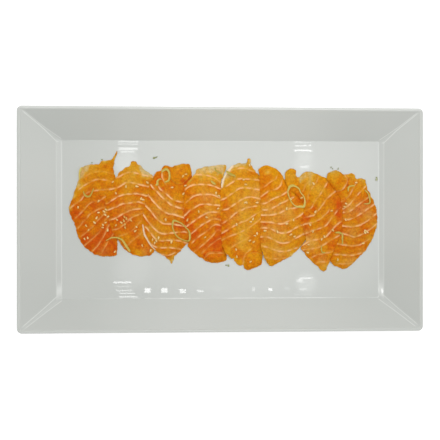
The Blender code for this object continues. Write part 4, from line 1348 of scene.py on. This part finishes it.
def make_slice(number, shape, pile, finish):
    """One slice laid over the pile, with the lines of fat and the colours held by its points."""
    outline = smooth_line(shape["outline"], OUTLINE_STEP, closed=True)
    ragged = RAGGED_WIDE * waves(outline, 6.0, number) + RAGGED_FINE * waves(outline, 2.6, number + 20)
    outline = outline + inward(outline) * ragged[:, None]
    inner = inner_points(outline)
    flat = np.concatenate([outline, inner])
    sheet = pile.sheet()
    base = sample(pile, sheet, flat)
    lower, upper, depth = slice_heights(flat, shape, outline, base, number)
    step, gap = fat_field(shape["fat"], flat)
    strength = fat_strength(shape, step, flat)
    groove = 0.5 - 0.5 * np.cos(2 * math.pi * step)
    upper += FLAKE_RELIEF * (groove - 0.5) * ease(depth / 2.5) * strength
    doubled = lies_over(sample(pile, blur(pile.top), flat))
    tone = np.column_stack([
        golden_share(shape, flat), np.minimum(spots_of(shape, "pale", flat), 1.0), cream_edge(shape, flat)
    ])
    lines = np.column_stack([step + LINES_APART * number, gap, strength])
    body = np.column_stack([np.maximum(depth, 0), doubled, inside_fold(shape, flat)])
    # Each slice's painted light and shade, lighter or darker from its top to its bottom, and its milky
    # spots
    light = by_height(flat, shape["shade"])
    shade = np.column_stack([light, spots_of(shape, "milk", flat)])
    size = len(flat)
    points = np.concatenate([np.column_stack([flat, lower]), np.column_stack([flat, upper])])
    faces = []
    for face in triangles(outline, inner):
        faces.append(face[::-1])
        faces.append(tuple(corner + size for corner in face))
    faces += [face[::-1] for face in band(0, size, len(outline))]
    values = {"tone": tone, "band": lines, "body": body, "shade": shade}
    values = {key: np.tile(numbers, (2, 1)) for key, numbers in values.items()}
    item = add_mesh(f"salmon_slice_{number}", points, faces, finish, values)
    add_piece(item, "salmon", f"slice_{number}")
    cells = pile.spots()
    near = depth_inside(outline, cells) > 0
    spots = cells[near]
    top = slice_heights(spots, shape, outline, sample(pile, sheet, spots), number)[1]
    pile.raise_to(top, near)


def cream_edge(shape, points):
    """1 on the stretches of a slice's edge that show white fat, given as (x, y, half width)."""
    total = np.zeros(len(points))
    for line in shape.get("cream", ()):
        for x, y, half in smooth_line(line, 0.7, closed=False):
            away = np.hypot(points[:, 0] - x, points[:, 1] - y)
            total = np.maximum(total, 1 - ease((away - half + 0.4) / 0.8))
    return total


def shifted(shape):
    """A slice's data with every place in it moved by FOOD_SHIFT."""
    def move(place):
        return (place[0] + FOOD_SHIFT[0], place[1] + FOOD_SHIFT[1], *place[2:])

    moved = dict(shape)
    for key in ("outline", "fold", "red", "pale", "milk"):
        if key in shape:
            moved[key] = [move(place) for place in shape[key]]
    for key in ("fat", "cream"):
        if key in shape:
            moved[key] = [[move(place) for place in line] for line in shape[key]]
    return moved


def make_salmon(pile):
    """All the slices from left to right, each over the one before it."""
    finish = salmon_material()
    for number, shape in enumerate(SLICES, start=1):
        make_slice(number, shifted(shape), pile, finish)


# Spring onion


def make_onion(name, corners, yellow, closed, pile, finish, seed):
    """A thin strip that rolls from lying flat to standing on edge, on what lies under it."""
    line = smooth_line(corners, ONION_STEP, closed)
    half = line[:, 2] / 2
    line = line[:, :2]
    count = len(line)
    if closed:
        along = np.roll(line, -1, axis=0) - np.roll(line, 1, axis=0)
    else:
        along = np.gradient(line, axis=0)
    along /= np.linalg.norm(along, axis=1)[:, None]
    across = np.stack([along[:, 1], -along[:, 0]], axis=1)
    wide = pile.spread(2, 1.0, 0.2)
    ground = sample(pile, blur(wide), line)
    roll = ONION_ROLL + ONION_ROLL_CHANGE * waves(line, 22.0, seed)
    if not closed:
        ends = np.minimum(np.arange(count), np.arange(count)[::-1]) * ONION_STEP
        half = half * (0.5 + 0.5 * ease(ends / ONION_TAPER))
    sides = ONION_SIDES
    points = []
    values = []
    for i in range(count):
        lift = half[i] * abs(math.sin(roll[i])) + ONION_THICKNESS / 2 + LYING_GAP
        for side in range(sides):
            turn = 2 * math.pi * side / sides
            out = half[i] * math.cos(turn)
            up = ONION_THICKNESS / 2 * math.sin(turn) + ONION_CUP * (out / half[i]) ** 2
            flat = out * math.cos(roll[i]) - up * math.sin(roll[i])
            rise = out * math.sin(roll[i]) + up * math.cos(roll[i])
            spot = line[i] + across[i] * flat
            points.append((*spot, ground[i] + lift + rise))
            values.append((math.cos(turn), i * ONION_STEP, yellow))
    faces = []
    for i in range(count if closed else count - 1):
        faces += [face[::-1] for face in band(i * sides, (i + 1) % count * sides, sides)]
    if not closed:
        faces.append(tuple(range(sides)))
        faces.append(tuple(range(count * sides - 1, (count - 1) * sides - 1, -1)))
    item = add_mesh(name + "_cut", points, faces, finish, {"strip": np.array(values)})
    add_piece(item, "spring_onion", name)


def make_all_onion(pile):
    """The closed rings and the strips."""
    finish = onion_material()
    for seed, (name, (yellow, corners)) in enumerate(ONION_RINGS.items(), start=200):
        make_onion(f"onion_ring_{name}", corners, yellow, True, pile, finish, seed)
    for number, (yellow, corners) in enumerate(ONION_STRIPS, start=1):
        make_onion(f"onion_strip_{number}", corners, yellow, False, pile, finish, 219 + number)


# Seeds and crumbs


def make_seeds(pile):
    """Teardrop seeds, flat side down, each turned its own way."""
    random = np.random.default_rng(11)
    wide = blur(pile.top)
    points = []
    values = []
    faces = []
    for x, y in SEEDS:
        spot = np.array([[x, y]], float) + random.uniform(-SEED_SCATTER, SEED_SCATTER, 2)
        turn = random.uniform(0, 2 * math.pi)
        size = random.uniform(0.85, 1.1)
        toast = random.uniform(0, 1)
        if math.hypot(x - TOASTED_PLACE[0], y - TOASTED_PLACE[1]) < TOASTED_REACH:
            toast = 0.6 + 0.9 * toast
        slope = [
            sample(pile, wide, spot + step)[0] - sample(pile, wide, spot - step)[0]
            for step in (np.array([1.0, 0]), np.array([0, 1.0]))
        ]
        tilt = Vector((-slope[0] / 2, -slope[1] / 2, 1.0)).normalized()
        frame_turn = tilt.to_track_quat("Z", "Y").to_matrix() @ Matrix.Rotation(turn, 3, "Z")
        centre = Vector((*spot[0], sample(pile, wide, spot)[0] + SEED_SIT * SEED_HEIGHT))
        start = len(points)
        for row in range(SEED_ROWS + 1):
            t = math.cos(math.pi * row / SEED_ROWS)
            girth = math.sin(math.pi * row / SEED_ROWS) * (1 - SEED_TAPER * t)
            for side in range(SEED_SIDES):
                angle = 2 * math.pi * side / SEED_SIDES
                local = Vector((
                    SEED_LENGTH / 2 * t,
                    SEED_WIDTH / 2 * girth * math.cos(angle),
                    SEED_HEIGHT / 2 * girth * math.sin(angle),
                ))
                points.append(tuple(centre + frame_turn @ (local * size)))
                values.append((toast, (t + 1) / 2, 0.5 - 0.5 * math.sin(angle)))
        for row in range(SEED_ROWS):
            faces += band(start + row * SEED_SIDES, start + (row + 1) * SEED_SIDES, SEED_SIDES)
    item = add_mesh("sesame_seeds", points, faces, seed_material(), {"seed": np.array(values)})
    merge_close(item)
    add_piece(item, "sesame")


def merge_close(item):
    """Joins the points that fall together, as at a seed's two ends."""
    work = bmesh.new()
    work.from_mesh(item.data)
    bmesh.ops.remove_doubles(work, verts=work.verts[:], dist=0.00001)
    bmesh.ops.recalc_face_normals(work, faces=work.faces[:])
    work.to_mesh(item.data)
    work.free()


def make_crumbs(pile):
    """Small uneven flakes of dried herb, lying on whatever is under them."""
    points = []
    faces = []
    values = []
    work = bmesh.new()
    bmesh.ops.create_icosphere(work, subdivisions=2, radius=1.0)
    ball = np.array([vertex.co for vertex in work.verts])
    ball_faces = [[vertex.index for vertex in face.verts] for face in work.faces]
    work.free()
    for number, (x, y, length, width, turn, dry) in enumerate(CRUMBS):
        ground = sample(pile, pile.top, np.array([[x, y]]))[0]
        dents = 1 + CRUMB_DENTS * waves(ball[:, :2] + ball[:, 2:] + number, 1.3, 60 + number)
        shape = ball * dents[:, None] * np.array([length, width, CRUMB_HEIGHT]) / 2
        cos, sin = math.cos(math.radians(turn)), math.sin(math.radians(turn))
        faces += [tuple(corner + len(points) for corner in face) for face in ball_faces]
        height = ground + CRUMB_HEIGHT / 2 + LYING_GAP
        for a, b, c in shape:
            points.append((x + a * cos - b * sin, y + a * sin + b * cos, height + c))
        values += [(dry,)] * len(shape)
    item = add_mesh("herb_crumbs", points, faces, herb_material(), {"crumb": np.array(values)})
    add_piece(item, "herb")


# Studio


def aim(item, place, target, up=Vector((0, 1, 0))):
    """Places a camera or light and points it at a target, with its top towards up."""
    forward = (target - place).normalized()
    right = forward.cross(up).normalized()
    top = right.cross(forward)
    turn = Matrix((right, top, -forward)).transposed().to_4x4()
    turn.translation = place
    item.matrix_world = turn


def add_item(name, data, place, target):
    """A camera or light placed and pointed."""
    item = bpy.data.objects.new(name, data)
    bpy.context.scene.collection.objects.link(item)
    aim(item, place, target)
    return item


def make_camera():
    """The camera of the photograph."""
    data = bpy.data.cameras.new("camera")
    data.lens = LENS
    data.sensor_width = SENSOR_WIDTH
    data.clip_start = 0.01
    data.clip_end = 50.0
    bpy.context.scene.camera = add_item("camera", data, CAMERA_PLACE, CAMERA_TARGET)


def add_light(name, place, target, size, radiance):
    """A rectangular light of a given radiance."""
    data = bpy.data.lights.new(name, "AREA")
    data.shape = "RECTANGLE"
    data.size = size[0]
    data.size_y = size[1]
    data.energy = radiance * math.pi * size[0] * size[1]
    return add_item(name, data, place, target)


def mirrored(spot, slope=(0, 0)):
    """The direction in which the glaze mirrors the camera's line of sight at a spot, given how steeply
    the surface rises there along X and along Y."""
    camera = CAMERA_PLACE / MM
    sight = Vector((spot[0] - camera.x, spot[1] - camera.y, WELL_FLOOR - camera.z))
    return sight.reflect(Vector((-slope[0], -slope[1], 1.0)).normalized()).normalized()


def add_lamp(name, spot, size, radiance):
    """A small lamp overhead whose reflection shows at a spot on the well, at a size in millimetres."""
    camera = CAMERA_PLACE / MM
    stretch = (LAMP_HEIGHT - WELL_FLOOR) / (camera.z - WELL_FLOOR)
    x = spot[0] + (spot[0] - camera.x) * stretch
    y = spot[1] + (spot[1] - camera.y) * stretch
    place = Vector((x, y, LAMP_HEIGHT)) * MM
    size = [length * (1 + stretch) * MM for length in size]
    add_light(name, place, place - Vector((0, 0, 1)), size, radiance)


def sky_glow(direction, spot, slope, radius, amount):
    """Extra light from the part of the sky whose reflection shows round a spot on the platter."""
    middle = mirrored(spot, slope)
    edge = middle.dot(mirrored((spot[0] + radius, spot[1]), slope))
    inputs = {0: direction, 1: middle}
    near = add_node(direction.tree, "VectorMath", inputs, "Value", operation="DOT_PRODUCT")
    return smooth_step(near, edge, 1.0) * amount


def make_studio():
    """Soft white light from all round, brighter overhead, one large lamp behind, and small lamps."""
    scene = bpy.context.scene
    scene.view_settings.view_transform = "Standard"
    world = bpy.data.worlds.new("studio")
    world.use_nodes = True
    tree = world.node_tree
    direction = add_node(tree, "TexCoord", {}, "Generated")
    light = SKY_LEVEL
    for glow in SKY_GLOWS:
        light = sky_glow(direction, *glow) + light
    set_inputs(tree.nodes["Background"], {"Strength": light.calc("MAXIMUM", SKY_LEAST), "Color": WHITE})
    scene.world = world
    key = add_light("key_light", KEY_PLACE, Vector((0.0, 0.0, 0.0)), KEY_SIZE, KEY_RADIANCE)
    key.visible_glossy = False
    for number, (spot, size, radiance) in enumerate(LAMPS, start=1):
        add_lamp(f"lamp_{number}", spot, size, radiance)


def make_floor():
    """A wide floor just below the platter, which only the render uses."""
    corners = [(-1, -1, 0), (1, -1, 0), (1, 1, 0), (-1, 1, 0)]
    item = add_mesh("floor", np.array(corners) * FLOOR_HALF, [(0, 1, 2, 3)], floor_material())
    item.location.z = -FLOOR_GAP * MM


make_camera()
make_studio()
make_floor()
make_platter()
pile = Pile()
make_salmon(pile)
make_all_onion(pile)
make_seeds(pile)
make_crumbs(pile)

bpy.context.view_layer.update()
